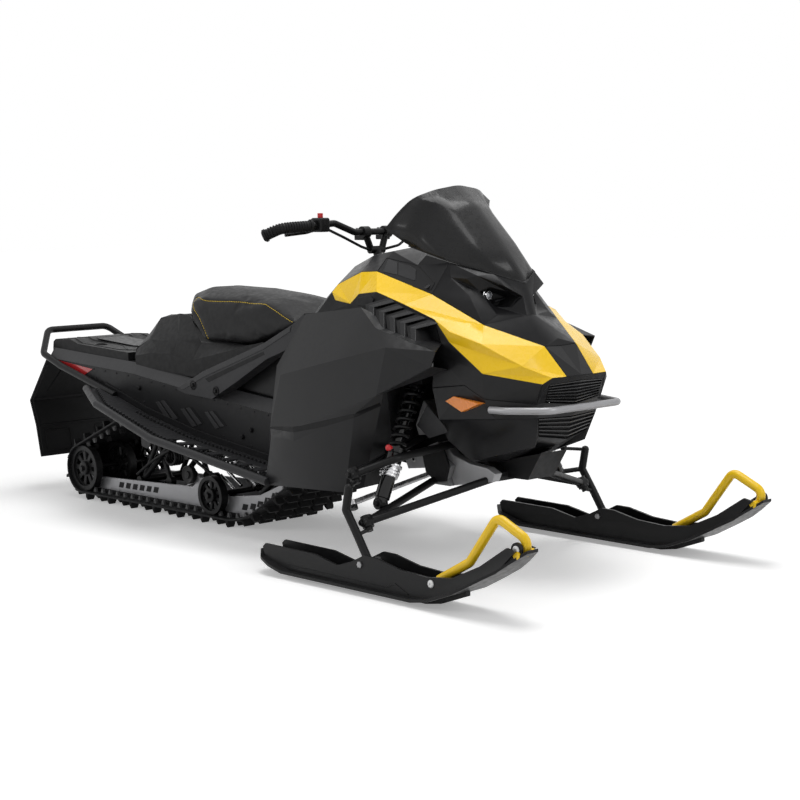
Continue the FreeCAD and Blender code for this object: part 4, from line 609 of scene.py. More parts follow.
def makeGrilles(look):
    backs, slats = [], []
    for corners, count in look["openings"]:
        outerTop, middleTop, middleLow, outerLow = corners
        backs.append(plate(corners + look["inset"], look["backThick"]))
        for k in range(count):
            high, low = (k + look["start"]) / count, (k + look["start"] + look["rise"]) / count
            edge = [outerTop + (outerLow - outerTop) * high, middleTop + (middleLow - middleTop) * high,
                    middleTop + (middleLow - middleTop) * low, outerTop + (outerLow - outerTop) * low]
            slats.append(plate(edge + look["lift"], look["slatThick"]))
    piece("grilleBacks", bothSides(backs), "ventBlack", "grilles", True, smooth=False)
    piece("grilleSlats", bothSides(slats), "slatGrey", "grilles", smooth=False, bevel=look["bevel"])


makeGrilles(grilleLook)


# Seat: the solid remeshed, swollen by cloth under pressure, then seams pressed in and stitched.
seatLook = {
    "voxel": 0.009, "ease": 0.5, "easeSteps": 6, "pressure": 0.5, "stiffness": 30, "quality": 4, "steps": 16,
    "cap": 0.01, "below": 0.004, "above": 0.006, "fill": 0.9,
    "sideSeam": [(-1.3757, 0.1135, 0.8092), (-1.29, 0.15, 0.802), (-1.2294, 0.1582, 0.8018),
                 (-1.117, 0.1567, 0.8054), (-0.9671, 0.1535, 0.8062), (-0.9155, 0.154, 0.7945),
                 (-0.85, 0.156, 0.768), (-0.8, 0.156, 0.748)],
    "rearSeam": [(-1.3757, 0.1135, 0.8092), (-1.33, 0.164, 0.772), (-1.29, 0.172, 0.742),
                 (-1.26, 0.172, 0.7), (-1.245, 0.169, 0.67)],
    "groove": 0.0022, "grooveWidth": 0.006, "grooveStep": 0.003,
    "stitch": (0.00325, 0.00104), "stitchSink": -0.00039, "stitchThick": 0.0011, "stitchGap": 0.0095}


# What the modifiers give becomes the mesh.
def settle(thing):
    graph = bpy.context.evaluated_depsgraph_get()
    mesh = bpy.data.meshes.new_from_object(thing.evaluated_get(graph))
    thing.modifiers.clear()
    thing.data = mesh


def vertexArray(mesh, what="co"):
    found = np.empty(len(mesh.vertices) * 3)
    mesh.vertices.foreach_get(what, found)
    return found.reshape(-1, 3)


def moveTo(mesh, points):
    mesh.vertices.foreach_set("co", points.ravel())
    mesh.update()


# Distance from each point to the nearest sample of a line.
def distanceTo(points, line):
    return np.sqrt(((points[:, None] - line[None]) ** 2).sum(axis=2)).min(axis=1)


# The points after the cloth has been under pressure, none moved further than the cap.
def swollen(thing, look):
    scene, start = bpy.context.scene, vertexArray(thing.data)
    settings = thing.modifiers.new("pad", "CLOTH").settings
    settings.effector_weights.gravity = 0
    settings.use_pressure = True
    settings.uniform_pressure_force = look["pressure"]
    settings.tension_stiffness = settings.compression_stiffness = look["stiffness"]
    settings.quality = look["quality"]
    for step in range(1, look["steps"] + 1):
        scene.frame_set(step)
    settle(thing)
    scene.frame_set(1)
    shift = vertexArray(thing.data) - start
    reach = np.linalg.norm(shift, axis=1)[:, None]
    return start + shift * np.minimum(1, look["cap"] / np.maximum(reach, 1e-9))


# Each point sinks by groove * exp(-(distance / width) squared) next to a seam.
def pressSeams(mesh, seams, look):
    points, normals = vertexArray(mesh), vertexArray(mesh, "normal")
    for line in seams:
        near = distanceTo(points, spaced(line, look["grooveStep"])[0])
        points -= normals * (look["groove"] * np.exp(-(near / look["grooveWidth"]) ** 2))[:, None]
    moveTo(mesh, points)


def makeSeat(look):
    thing = solidCopy("seat", "seatPad", False)
    grid = thing.modifiers.new("grid", "REMESH")
    grid.mode, grid.voxel_size = "VOXEL", look["voxel"]
    ease = thing.modifiers.new("ease", "SMOOTH")
    ease.factor, ease.iterations = look["ease"], look["easeSteps"]
    settle(thing)
    points = swollen(thing, look)
    low, high = np.array(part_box("seat"))
    moveTo(thing.data, np.clip(points, low - look["below"], high + look["above"]))
    fine = thing.modifiers.new("fine", "SUBSURF")
    fine.levels = fine.render_levels = 1
    settle(thing)
    seams = []
    for key in ("sideSeam", "rearSeam"):
        line = smoothPath(spots(*look[key]))
        seams += [line, mirrored(line)]
    pressSeams(thing.data, seams, look)
    dress(thing, "seatBlack", "seat", True, True, 0, 180)
    tree = treeOf(thing.data)
    (long, wide), sunk = look["stitch"], look["stitchSink"]
    outline = [(-long, -wide, sunk), (long, -wide, sunk), (long, wide, sunk), (-long, wide, sunk)]
    stitch = plate(outline, (0, 0, look["stitchThick"]))
    stitches = []
    for line in seams:
        hits = [tree.find_nearest(Vector(spot)) for spot in spaced(line, look["stitchGap"])[0]]
        foot, out = (np.array([tuple(hit[k]) for hit in hits]) for k in range(2))
        ahead = unit(np.gradient(foot, axis=0))
        stitches.append(copies(foot, ahead, np.cross(out, ahead), out, *stitch))
    piece("seatStitches", stitches, "stitchYellow", "seat", smooth=False)


makeSeat(seatLook)
print("seat made")


# Track: the belt runs round four circles (x, z, radius), as in the solids. A bar across the belt is half its
# foot, the foot's height, half its top and the top's height, then how far it reaches to either side.
trackLook = {
    "wheels": [(-2.055, 0.121, 0.089), (-1.15, 0.352, 0.32), (-0.745, 0.318, 0.084), (-1.54, 0.372, 0.062)],
    "width": 0.381, "belt": 0.007, "inside": -0.0002, "edge": 0.002, "beltStep": 0.012,
    "edgeWire": 0.0021, "edgeStep": 0.02, "edgeInset": 0.0022,
    "lug": 0.0248, "lugFoot": 0.0075, "lugTip": 0.0035, "lugCut": 0.004, "lugFlare": 0.002,
    "lugShoulder": 0.55, "lugCount": 45,
    "wide": [(-0.98, -0.8), (-0.72, -0.46), (-0.36, -0.04), (0.04, 0.36), (0.46, 0.72), (0.8, 0.98)],
    "split": [(-0.9, -0.64), (-0.54, -0.2), (-0.14, 0.14), (0.2, 0.54), (0.64, 0.9)],
    "rib": (0.009, -0.001, 0.006, 0.005), "ribEnd": 0.004,
    "toothCount": 66, "tooth": (0.009, 0.001, 0.0025, -0.0165, 0.005), "toothRow": 0.158, "driveRow": 0.095,
    "driveLug": [(-0.011, -0.008, 0.001), (0.011, -0.008, 0.001), (0.005, -0.006, -0.019),
                 (-0.005, -0.006, -0.019)],
    "driveThick": 0.016}


# Each circle gives an arc from the angle where the belt meets it to the one where it leaves.
def beltLoop(look, offset, steps=40):
    wheels = look["wheels"]
    leaving = []
    for (xa, za, ra), (xb, zb, rb) in zip(wheels, wheels[1:] + wheels[:1]):
        heading = math.atan2(zb - za, xb - xa)
        leaving.append(heading - math.acos((ra - rb) / math.hypot(xb - xa, zb - za)))
    line = []
    for (x, z, radius), meets, leaves in zip(wheels, leaving[-1:] + leaving[:-1], leaving):
        angle = np.linspace(meets, meets + (leaves - meets) % (2 * math.pi), steps)
        reach = radius + offset
        line.append(np.stack([x + skiBolt + reach * np.cos(angle), 0 * angle, z + reach * np.sin(angle)], 1))
    return np.concatenate(line)


# A bar across the belt, from one end to the other.
def crossBar(half, low, top, high, end):
    outline = [(x, -end, z) for x, z in barOutline(half, low, top, high)]
    return plate(outline, (0, 2 * end, 0))


# A paddle: a foot that narrows to a tip, with its corners cut, standing on the belt.
def paddle(start, end, look):
    foot, tip, cut, height = look["lugFoot"], look["lugTip"], look["lugCut"], look["lug"]
    wide, shoulder = tip + look["lugFlare"], height * look["lugShoulder"]
    shape, faces = plate([(-foot, start, 0), (foot, start, 0), (wide, start, shoulder),
                          (tip, start + cut, height), (-tip, start + cut, height), (-wide, start, shoulder)],
                         (0, end - start, 0))
    shape[9:11, 1] -= 2 * cut  # the two tip corners of the far end
    return shape, faces


def makeTrack(look):
    half, thick, edge, up = look["width"] / 2, look["belt"], look["edge"], (0, 1, 0)
    middle, outside, inside = (beltLoop(look, offset) for offset in (thick / 2, thick, look["inside"]))
    outline = [(0, -half), (-thick / 2, edge - half), (-thick / 2, half - edge), (0, half),
               (thick / 2, half - edge), (thick / 2, edge - half)]
    parts = [sweep(spaced(middle, look["beltStep"], closed=True)[0], outline, up, True)]
    spot, ahead = spaced(outside, count=look["lugCount"], closed=True)
    parts.append(along(spot, ahead, *crossBar(*look["rib"], half - look["ribEnd"])))
    for first, key in enumerate(("wide", "split")):
        parts += [along(spot[first::2], ahead[first::2], *paddle(start * half, end * half, look))
                  for start, end in look[key]]
    piece("trackBelt", parts, "trackRubber", "track", True, smooth=False)
    spot, ahead = spaced(inside, count=look["toothCount"], closed=True)
    teeth = [along(spot, ahead, *crossBar(*look["tooth"]), side * look["toothRow"]) for side in (-1, 1)]
    piece("trackGuides", teeth, "toothGrey", "track", smooth=False)
    lug = plate(look["driveLug"], (0, look["driveThick"], 0))
    lugs = [along(spot[::2], ahead[::2], *lug, side * look["driveRow"]) for side in (-1, 1)]
    piece("driveLugs", lugs, "trackRubber", "track", smooth=False)
    wire, rim = circle(look["edgeWire"], 6), spaced(middle, look["edgeStep"], closed=True)[0]
    lips = [sweep(rim + (0, side * (half - look["edgeInset"]), 0), wire, up, True) for side in (-1, 1)]
    piece("beltEdges", lips, "edgeGrey", "track")


makeTrack(trackLook)


# Wheels: a grooved rubber tyre round each. A row is (x, z, radius, places beside the middle), and the tread
# is (place across, height from the radius).
wheelLook = {
    "rows": [(-2.055, 0.121, 0.0887, (0.16, 0)), (-1.252, 0.102, 0.0697, (0.16,)),
             (-1.54, 0.372, 0.0617, (0.16,))],
    "tread": [(-0.0145, -0.01), (-0.0145, -0.003), (-0.01, 0), (-0.004, 0), (-0.003, -0.002), (0.003, -0.002),
              (0.004, 0), (0.01, 0), (0.0145, -0.003), (0.0145, -0.01)],
    "inner": -0.011, "sides": 48}


def makeTyres(look):
    tread = np.array(look["tread"])
    profile = np.concatenate([tread, tread[::-1] * (1, 0) + (0, look["inner"])])
    faces = closeFaces(len(profile), look["sides"], True, True)
    tyres = [(turned(at(x, y, z), outward, profile + (0, radius), look["sides"])[0], faces)
             for x, z, radius, places in look["rows"] for y in places]
    piece("wheelTyres", bothSides(tyres), "softRubber", "rear_wheels")


makeTyres(wheelLook)
print("track and wheels made")


# Rings of (distance out, radius) and a bolt at each spot of the right side, and the same on the left.
castingSpots = [(-0.256, 0.1553, 0.334), (-0.23, 0.1553, 0.35), (-0.21, 0.1553, 0.334)]
hubSpots = [(-2.055, 0.175, 0.121), (-1.252, 0.175, 0.102), (-1.54, 0.175, 0.372)]
ringLooks = {
    "hubCaps": {
        "finish": "wheelBlack", "slot": "rear_wheels", "spots": hubSpots, "sides": 32,
        "profile": [(-0.004, 0.026), (0.003, 0.026), (0.005, 0.023), (0.005, 0.014), (0.003, 0.012)]},
    "hubBolts": {
        "finish": "boltSteel", "slot": "rear_wheels", "spots": hubSpots, "bolt": 0.015, "lift": 0.002,
        "crease": 25},
    "tunnelBolts": {
        "finish": "ventBlack", "slot": "tunnel", "bolt": 0.016, "crease": 25,
        "spots": [(-1.0043, 0.2125, 0.34), (-0.956, 0.2125, 0.368), (-1.61, 0.2125, 0.47)]},
    "strutBolts": {
        "finish": "ventBlack", "slot": "side_struts", "bolt": 0.014, "lift": 0.0004, "sides": 24,
        "spots": [(-1.24, 0.2432, 0.508), (-1.11, 0.2432, 0.4958)],
        "profile": [(-0.002, 0.017), (0.0022, 0.017), (0.003, 0.0155), (0.003, 0.0125), (0.0006, 0.0115)]},
    "deckSockets": {
        "finish": "frameBlack", "slot": "rear_deck", "axis": (0, 0, 1), "sides": 32,
        "spots": [(-1.99, 0.118, 0.6072)],
        "profile": [(-0.004, 0.0225), (0.0022, 0.0225), (0.003, 0.021), (0.003, 0.0185), (-0.004, 0.0175)]},
    "idlerWheels": {
        "finish": "wheelBlack", "slot": "slide_rails", "sides": 32, "spots": [(-1.408, 0.135, 0.159)],
        "profile": [(0, 0.03), (0.002, 0.034), (0.02, 0.034), (0.022, 0.03), (0.019, 0.024), (0.019, 0.015),
                    (0.024, 0.013), (0.024, 0.002)]},
    "castingRings": {
        "finish": "castSilver", "slot": "frame_brackets", "spots": castingSpots, "sides": 20,
        "profile": [(-0.002, 0.0095), (0.0015, 0.0095), (0.0018, 0.0085), (0.0018, 0.0062),
                    (-0.001, 0.0058)]},
    "castingHoles": {
        "finish": "ventBlack", "slot": "frame_brackets", "spots": castingSpots, "sides": 16, "smooth": False,
        "profile": [(-0.002, 0.0059), (0.0008, 0.0059)]},
    "armBolts": {
        "finish": "boltSteel", "slot": "frame_brackets", "bolt": 0.017, "crease": 25,
        "spots": [(-0.054, 0.112, 0.396), (-0.195, 0.112, 0.412), (0.098, 0.112, 0.3),
                  (-0.118, 0.152, 0.28)]},
    "shockEyes": {
        "finish": "frameBlack", "slot": "front_shocks", "bolt": 0.017, "lift": 0.016, "sides": 24,
        "spots": [(-0.098, 0.405, 0.236), (-0.132, 0.214, 0.588)],
        "profile": [(-0.016, 0.0165), (-0.014, 0.0185), (0.014, 0.0185), (0.016, 0.0165)]},
    "shockKnobs": {
        "finish": "buttonRed", "slot": "front_shocks", "axis": (0.3, -1, 0.1), "sides": 20,
        "spots": [(-0.09, 0.372, 0.404)],
        "profile": [(-0.012, 0.005), (0, 0.005), (0.001, 0.0095), (0.008, 0.0095), (0.01, 0.007),
                    (0.0105, 0.002)]},
}


def makeRings(name, look):
    axis, parts = look.get("axis", outward), []
    for spot in spots(*look["spots"]):
        if "profile" in look:
            parts.append(turned(spot, axis, look["profile"], look["sides"]))
        if "bolt" in look:
            parts += bolt(spot + np.array(axis) * look.get("lift", 0), axis, look["bolt"])
    piece(name, bothSides(parts), look["finish"], look["slot"], smooth=look.get("smooth", True),
          crease=look.get("crease", 35))


for name, look in ringLooks.items():
    makeRings(name, look)


# Plates of the right side: outlines of (x, z) at a distance from the middle, with a thickness outwards, and
# the same on the left.
slotCorners = [(-0.019, -0.011), (0.01, -0.011), (0.019, 0.011), (-0.01, 0.011)]
slotSpots = [(-1.86, 0.0708), (-1.815, 0.0718), (-1.77, 0.0728), (-1.725, 0.0738), (-1.68, 0.0748),
             (-1.635, 0.0758), (-1.1, 0.072), (-1.055, 0.079), (-1.015, 0.092), (-0.975, 0.109),
             (-0.935, 0.13)]
plateLooks = {
    "strutBands": {
        "finish": "bandGrey", "slot": "side_struts", "side": [0.2432], "thick": 0.0018, "bevel": 0.0008,
        "outlines": [[(-1.326, 0.496), (-1.184, 0.5575), (-0.84, 0.675), (-0.695, 0.741), (-0.7, 0.722),
                      (-0.842, 0.656), (-1.176, 0.541), (-1.3, 0.487)]]},
    "strutGrooves": {
        "finish": "ventBlack", "slot": "side_struts", "side": [0.2432], "thick": 0.0006,
        "outlines": [[(-1.17, 0.535), (-0.845, 0.648), (-0.838, 0.638), (-1.15, 0.524)]]},
    "boardHangers": {
        "finish": "tunnelBlack", "slot": "running_boards", "side": [0.2128], "thick": 0.005, "bevel": 0.001,
        "outlines": [[(-1.829, 0.452), (-1.56, 0.376), (-1.26, 0.316), (-0.62, 0.238),
                      (-0.62, 0.262), (-1.26, 0.342), (-1.56, 0.402), (-1.829, 0.478)]]},
    "boardBrackets": {
        "finish": "tubeGrey", "slot": "running_boards", "side": [0.218], "thick": 0.005, "bevel": 0.002,
        "outlines": [[(-1.6, 0.32), (-1.53, 0.305), (-1.54, 0.262), (-1.56, 0.248), (-1.595, 0.256)]]},
    "idlerHangers": {
        "finish": "railSilver", "slot": "slide_rails", "side": [0.1345], "thick": -0.007, "bevel": 0.0015,
        "outlines": [[(-1.44, 0.112), (-1.355, 0.14), (-1.385, 0.172), (-1.425, 0.174)]]},
    "railSlots": {
        "finish": "ventBlack", "slot": "slide_rails", "side": [0.1341, 0.1213], "thick": 0.0006,
        "outlines": [[(x + dx, z + dz) for dx, dz in slotCorners] for x, z in slotSpots]},
    "railShoes": {
        "finish": "softRubber", "slot": "slide_rails", "side": [0.137], "thick": -0.018, "bevel": 0.001,
        "outlines": [[(-2.03, 0.0325), (-1.15, 0.0325), (-1.15, 0.0445), (-2.03, 0.0445)]]},
    "frameCovers": {
        "finish": "softRubber", "slot": "frame_brackets", "side": [0.1525], "thick": 0.01, "bevel": 0.004,
        "outlines": [[(-0.171, 0.372), (-0.075, 0.392), (-0.048, 0.33), (-0.06, 0.277), (-0.104, 0.27),
                      (-0.15, 0.297)]]},
    "frameShields": {
        "finish": "tubeGrey", "slot": "frame_core", "side": [0.252], "thick": 0.003, "bevel": 0.001,
        "outlines": [[(-0.044, 0.527), (-0.09, 0.461), (-0.0375, 0.425), (0.045, 0.451), (0.028, 0.471)]]},
}


def makePlates(name, look):
    thick = (0, -look["thick"], 0)
    parts = [plate(sideSpots(side, outline), thick) for side in look["side"] for outline in look["outlines"]]
    piece(name, bothSides(parts), look["finish"], look["slot"], smooth=False, bevel=look.get("bevel", 0))


for name, look in plateLooks.items():
    makePlates(name, look)


# Tunnel sides: a lighter sloping band with rivets under it, and slanted bars on dark grooves.
# A station is (x, top edge, side edge, foot) of the wall.
tunnelLook = {
    "stations": [(-2.205, 0.5875, 0.5485, 0.533), (-1.644, 0.559, 0.52, 0.404), (-1.295, 0.52, 0.48, 0.329),
                 (-0.905, 0.482, 0.44, 0.276), (-0.64, 0.461, 0.42, 0.245)],
    "topHalf": 0.1865, "sideHalf": 0.2122, "bandLift": (0, -0.0006, 0.0004), "bandWall": 0.0012,
    "bars": [[(-1.5104, 0.425), (-1.4483, 0.437), (-1.3663, 0.377), (-1.4398, 0.361)],
             [(-1.3587, 0.411), (-1.2927, 0.423), (-1.2246, 0.371), (-1.2901, 0.351)],
             [(-1.217, 0.411), (-1.159, 0.419), (-1.096, 0.372), (-1.156, 0.356)]],
    "barStarts": (0.0, 0.5), "barShare": 0.34, "barThick": 0.003, "barBevel": 0.0008,
    "grooveGrowth": (1.06, 1, 1.04), "grooveThick": 0.0008,
    "rivet": 0.007, "rivetSides": 10, "rivetRows": [(2, -0.01, 0.07), (3, 0.03, 0.14)]}


def makeTunnelDetail(look):
    side = look["sideHalf"]
    stations = np.array(look["stations"])
    edges = [np.stack([stations[:, 0] + skiBolt, 0 * stations[:, 0] - half, stations[:, k]], axis=1)
             for half, k in ((look["topHalf"], 1), (side, 2))]
    band = np.stack(edges, axis=1).reshape(-1, 3) + np.array(look["bandLift"])
    thing = piece("tunnelBands", bothSides([(band, closeFaces(len(stations), 2, False, False))]), "bandGrey",
                  "tunnel", smooth=False)
    addWall(thing, look["bandWall"], 0)
    bars, grooves = [], []
    for corners in look["bars"]:
        a, b, c, d = outline = sideSpots(side, corners)
        middle = outline.mean(axis=0)
        for low in look["barStarts"]:
            high = low + look["barShare"]
            bar = [a + (b - a) * low, a + (b - a) * high, d + (c - d) * high, d + (c - d) * low]
            bars.append(plate(bar, (0, -look["barThick"], 0)))
        wide = middle + (outline - middle) * np.array(look["grooveGrowth"])
        grooves.append(plate(wide, (0, -look["grooveThick"], 0)))
    piece("tunnelGrooves", bothSides(grooves), "ventBlack", "tunnel", smooth=False)
    piece("tunnelMarks", bothSides(bars), "bandGrey", "tunnel", smooth=False, bevel=look["barBevel"])
    rivets, head = [], buttonProfile * look["rivet"]
    for column, shift, step in look["rivetRows"]:
        row, _ = spaced(sideSpots(side, stations[::-1, [0, column]] + np.array([0, shift])), step)
        rivets += [turned(spot, outward, head, look["rivetSides"]) for spot in row[1:-1]]
    piece("tunnelRivets", bothSides(rivets), "tubeGrey", "tunnel")


makeTunnelDetail(tunnelLook)


# Running boards: rows of teeth for the boots.
boardLook = {"rows": [[(-0.66, 0.385, 0.256), (-1.26, 0.385, 0.3345), (-1.61, 0.36, 0.419),
                       (-1.79, 0.282, 0.457)],
                      [(-0.66, 0.262, 0.247), (-1.26, 0.262, 0.3215), (-1.56, 0.262, 0.386)]],
             "step": 0.021, "tooth": (0.0056, -0.002, 0.00245, 0.007, 0.004)}


def makeBoardTeeth(look):
    rows = [along(*spaced(spots(*row), look["step"]), *crossBar(*look["tooth"])) for row in look["rows"]]
    piece("boardTeeth", bothSides(rows), "tubeGrey", "running_boards", smooth=False)


makeBoardTeeth(boardLook)


# Rear deck: ribs drawn on the surface between the rear and the step, and a raised middle plate.
deckLook = {
    "ribs": [[(-2.17, 0.15), (-2.06, 0.16), (-1.8, 0.16), (-1.76, 0.12), (-1.76, 0)],
             [(-2.19, 0.095), (-2.08, 0.095), (-2.04, 0.06), (-1.9, 0.078), (-1.8, 0.13)]],
    "above": 0.66, "lift": 0.0002, "step": 0.012, "rib": (0.0035, -0.001, 0.002, 0.0022),
    "plate": [(-2.15, 0.072), (-1.86, 0.06), (-1.82, 0.03)], "plateStep": 0.5, "thick": 0.0035,
    "bevel": 0.0015}


def makeDeckDetail(look):
    def dropped(row, lift, step):
        return laid("rear_deck", spots(*[(x, y, look["above"]) for x, y in row]), (0, 0, -1), lift, step)

    ribs = [sweep(dropped(row, look["lift"], look["step"]), barOutline(*look["rib"])) for row in look["ribs"]]
    piece("deckRibs", bothSides(ribs), "deckPlastic", "rear_deck", smooth=False)
    surface = dropped(look["plate"], 0, look["plateStep"])  # a step longer than the plate finds its two ends
    surface = surface[np.argsort(surface[:, 0])]
    corners = spots(*[(x, y, 0) for x, y in look["plate"]])
    corners[:, 2] = np.interp(corners[:, 0], surface[:, 0], surface[:, 2])
    outline = np.concatenate([corners, mirrored(corners)[::-1]])
    piece("deckPlate", [plate(outline, (0, 0, look["thick"]))], "tunnelBlack", "rear_deck", smooth=False,
          bevel=look["bevel"])


makeDeckDetail(deckLook)


# Snow flap: cross ribs and edge beads on the front face, and two lower pockets on both faces.
# A row is (half the ridge's width, the ways it is laid, its lines of (beside the middle, height)).
flapLook = {
    "rows": [(0.0065, [-1], [[(0.2, 0.372), (-0.2, 0.372)], [(0.205, 0.268), (-0.205, 0.268)]]),
             (0.0035, [-1], [[(0.2, 0.52), (0.2, 0.16)], [(-0.2, 0.52), (-0.2, 0.16)],
                             [(0.12, 0.5), (0.15, 0.4)], [(-0.12, 0.5), (-0.15, 0.4)]]),
             (0.0035, [-1, 1], [[(0.175, 0.25), (0.06, 0.25), (0.06, 0.165), (0.175, 0.165), (0.175, 0.25)],
                                [(-0.175, 0.25), (-0.06, 0.25), (-0.06, 0.165), (-0.175, 0.165),
                                 (-0.175, 0.25)]])],
    "place": -2.32, "step": 0.012, "foot": -0.001, "narrow": 0.6, "height": 0.0028}


def makeFlapDetail(look):
    ridges = []
    for half, ways, rows in look["rows"]:
        outline = barOutline(half, look["foot"], half * look["narrow"], look["height"])
        for row, way in [(row, way) for row in rows for way in ways]:
            guides = spots(*[(look["place"], y, z) for y, z in row])
            line = laid("snow_flap", guides, (way, 0, 0), 0, look["step"])
            if len(line) > 2:
                ridges.append(sweep(line, outline, (-way, 0, 0)))
    piece("flapRibs", ridges, "flapRubber", "snow_flap", smooth=False)


makeFlapDetail(flapLook)


# Rear suspension: coupled rods with their eyes, two shocks in springs, side springs with their legs.
# A rod is (end, end, radius); a shock's body is (share of its length, distance past that, radius).
suspensionLook = {
    "rods": [((-1.675, 0.088, 0.257), (-1.78, 0.088, 0.089), 0.01),
             ((-1.675, 0.088, 0.257), (-1.6, 0.088, 0.108), 0.01),
             ((-1.488, 0.088, 0.217), (-1.328, 0.088, 0.151), 0.006),
             ((-1.675, 0.088, 0.257), (-1.675, -0.088, 0.257), 0.011)],
    "chrome": [((-1.338, 0.055, 0.153), (-1.262, 0.055, 0.108), 0.0065),
               ((-1.295, 0.055, 0.172), (-1.219, 0.055, 0.127), 0.0065)],
    "rodUp": (0.2, 0.3, 0.9), "eyes": 3, "eyeShift": np.array([0, -0.012, 0]),
    "eye": [(0, 0.017), (0.024, 0.017)],
    "shocks": [spots((-1.47, 0, 0.335), (-1.19, 0, 0.12)), spots((-0.9, 0, 0.262), (-1.13, 0, 0.105))],
    "body": [(0, 0, 0.012), (0, 0.03, 0.012), (0, 0.032, 0.03), (0, 0.04, 0.03), (0, 0.042, 0.013),
             (0.62, 0, 0.013), (0.63, 0, 0.031), (0.66, 0, 0.031), (0.67, 0, 0.021), (1, 0, 0.02)],
    "coil": (0.14, 0.63, 0.0265, 0.0048, 6), "sideSpring": (-1.56, 0.075, 0.205),
    "sideCoil": (0.045, 0.028, 0.0055, 4),
    "leg": [(0, 0.045, 0.028), (-0.1, 0.048, -0.02), (-0.21, 0.048, -0.085)]}


def makeRearSuspension(look):
    rods, chrome = ([sweep(np.linspace(at(*a), at(*b), 3), circle(radius, 12), look["rodUp"])
                     for a, b, radius in look[key]] for key in ("rods", "chrome"))
    eyes = [turned(at(*row[k]) + look["eyeShift"], (0, 1, 0), look["eye"], 20)
            for k in range(2) for row in look["rods"][:look["eyes"]]]
    bodies, coils = [], []
    start, end, radius, wire, turns = look["coil"]
    for high, low in look["shocks"]:
        way = low - high
        share, past, radii = np.array(look["body"]).T
        profile = np.stack([share * np.linalg.norm(way) + past, radii], axis=1)
        bodies.append(turned(high, way, profile, 28))
        coils.append(coil(high + way * start, high + way * end, radius, wire, turns))
    (x, y, z), (reach, radius, wire, turns) = look["sideSpring"], look["sideCoil"]
    for side in (1, -1):
        coils.append(coil(at(x, side * y, z), at(x, side * (y + reach), z), radius, wire, turns))
    leg = sweep(smoothPath(spots(*(np.array(look["leg"]) + (x, y, z)))), circle(wire, 8))
    piece("linkRods", bothSides(rods + eyes + [leg]), "frameBlack", "suspension_arms")
    piece("shockRods", bothSides(chrome), "polishedSteel", "suspension_arms")
    piece("shockBodies", bodies, "boltSteel", "suspension_arms")
    piece("suspensionSprings", coils, "frameBlack", "suspension_arms")


makeRearSuspension(suspensionLook)
print("tunnel, boards, deck, flap and rear suspension made")


# Front shocks: collars, tube, cap and shaft. A part is (share of the shock's length, start, profile, sides).
shockLook = {
    "ends": spots((-0.098, 0.405, 0.236), (-0.132, 0.214, 0.588)),
    "rings": [(0.085, 0.029), (0.095, 0.031), (0.105, 0.031), (0.119, 0.034)],
    "ringWidth": 0.007, "ringLip": 0.001, "core": 0.022,
    "parts": {
        "shockCollars": ("polishedSteel", [(0, 0.085, [(0, 0.024), (0.04, 0.024)], 28)]),
        "shockTubes": ("glossBlack", [
            (0, 0.012, [(0, 0.017), (0.004, 0.0235), (0.071, 0.0235), (0.075, 0.019)], 28),
            (1, -0.03, [(0, 0.02), (0.003, 0.031), (0.01, 0.032), (0.014, 0.024), (0.03, 0.02)], 28)]),
        "shockShafts": ("polishedSteel", [(0, 0.125, [(0, 0.011), (0.16, 0.011)], 20)])}}


def makeFrontShocks(look):
    low, high = look["ends"]
    way, core, lip, width = unit(high - low), look["core"], look["ringLip"], look["ringWidth"]
    rings = []
    for start, radius in look["rings"]:
        profile = [(0, core), (lip, radius), (width - lip, radius), (width, core)]
        rings.append(turned(low + way * start, way, profile, 28))
    for name, (finish, rows) in look["parts"].items():
        parts = [turned(low + (high - low) * share + way * start, way, profile, sides)
                 for share, start, profile, sides in rows]
        piece(name, bothSides(rings + parts if name == "shockCollars" else parts), finish, "front_shocks")


makeFrontShocks(shockLook)


# Skis: white bolt heads, tip lugs, a rib along the side, pivot bolts, and nuts and boots on the spindles.
# Arc angles are in degrees; the outlines of the ribs are half the foot, its height, half the top, its height.
skiLook = {
    "bolts": spots((0.2986, 0.582, 0.0727), (0.613, 0.5655, 0.21)), "sides": 24,
    "bolt": [(-0.004, 0.0115), (0.0026, 0.0115), (0.005, 0.0085), (0.0052, 0.0035), (0.002, 0.003),
             (0.002, 0.0008)],
    "lug": at(0.613, 0.5655, 0.21), "lugRadius": 0.02, "lugArc": (-20, 200), "lugSteps": 14,
    "lugThick": 0.008, "lugFeet": [(-0.052, 0, -0.034), (0.022, 0, -0.012)], "side": 0.5822,
    "ribs": [([(-0.33, 0.04), (0.105, 0.034), (0.15, 0.051), (0.205, 0.028)],
              (0.003, -0.003, 0.0016, 0.0022)),
             ([(-0.33, 0.028), (0.105, 0.022)], (0.002, -0.003, 0.001, 0.0016))],
    "pivot": (spots((0, 0.577, 0.0865), (0, 0.5, 0.0865)), 0.022),
    "joints": spots((-0.142, 0.47, 0.328), (-0.066, 0.49, 0.194)), "nut": 0.018,
    "nutShift": np.array([0, 0.022, 0]),
    "boot": [(-0.024, 0.008), (-0.02, 0.013), (-0.014, 0.0145), (-0.01, 0.0195), (0.01, 0.0195),
             (0.016, 0.014)]}


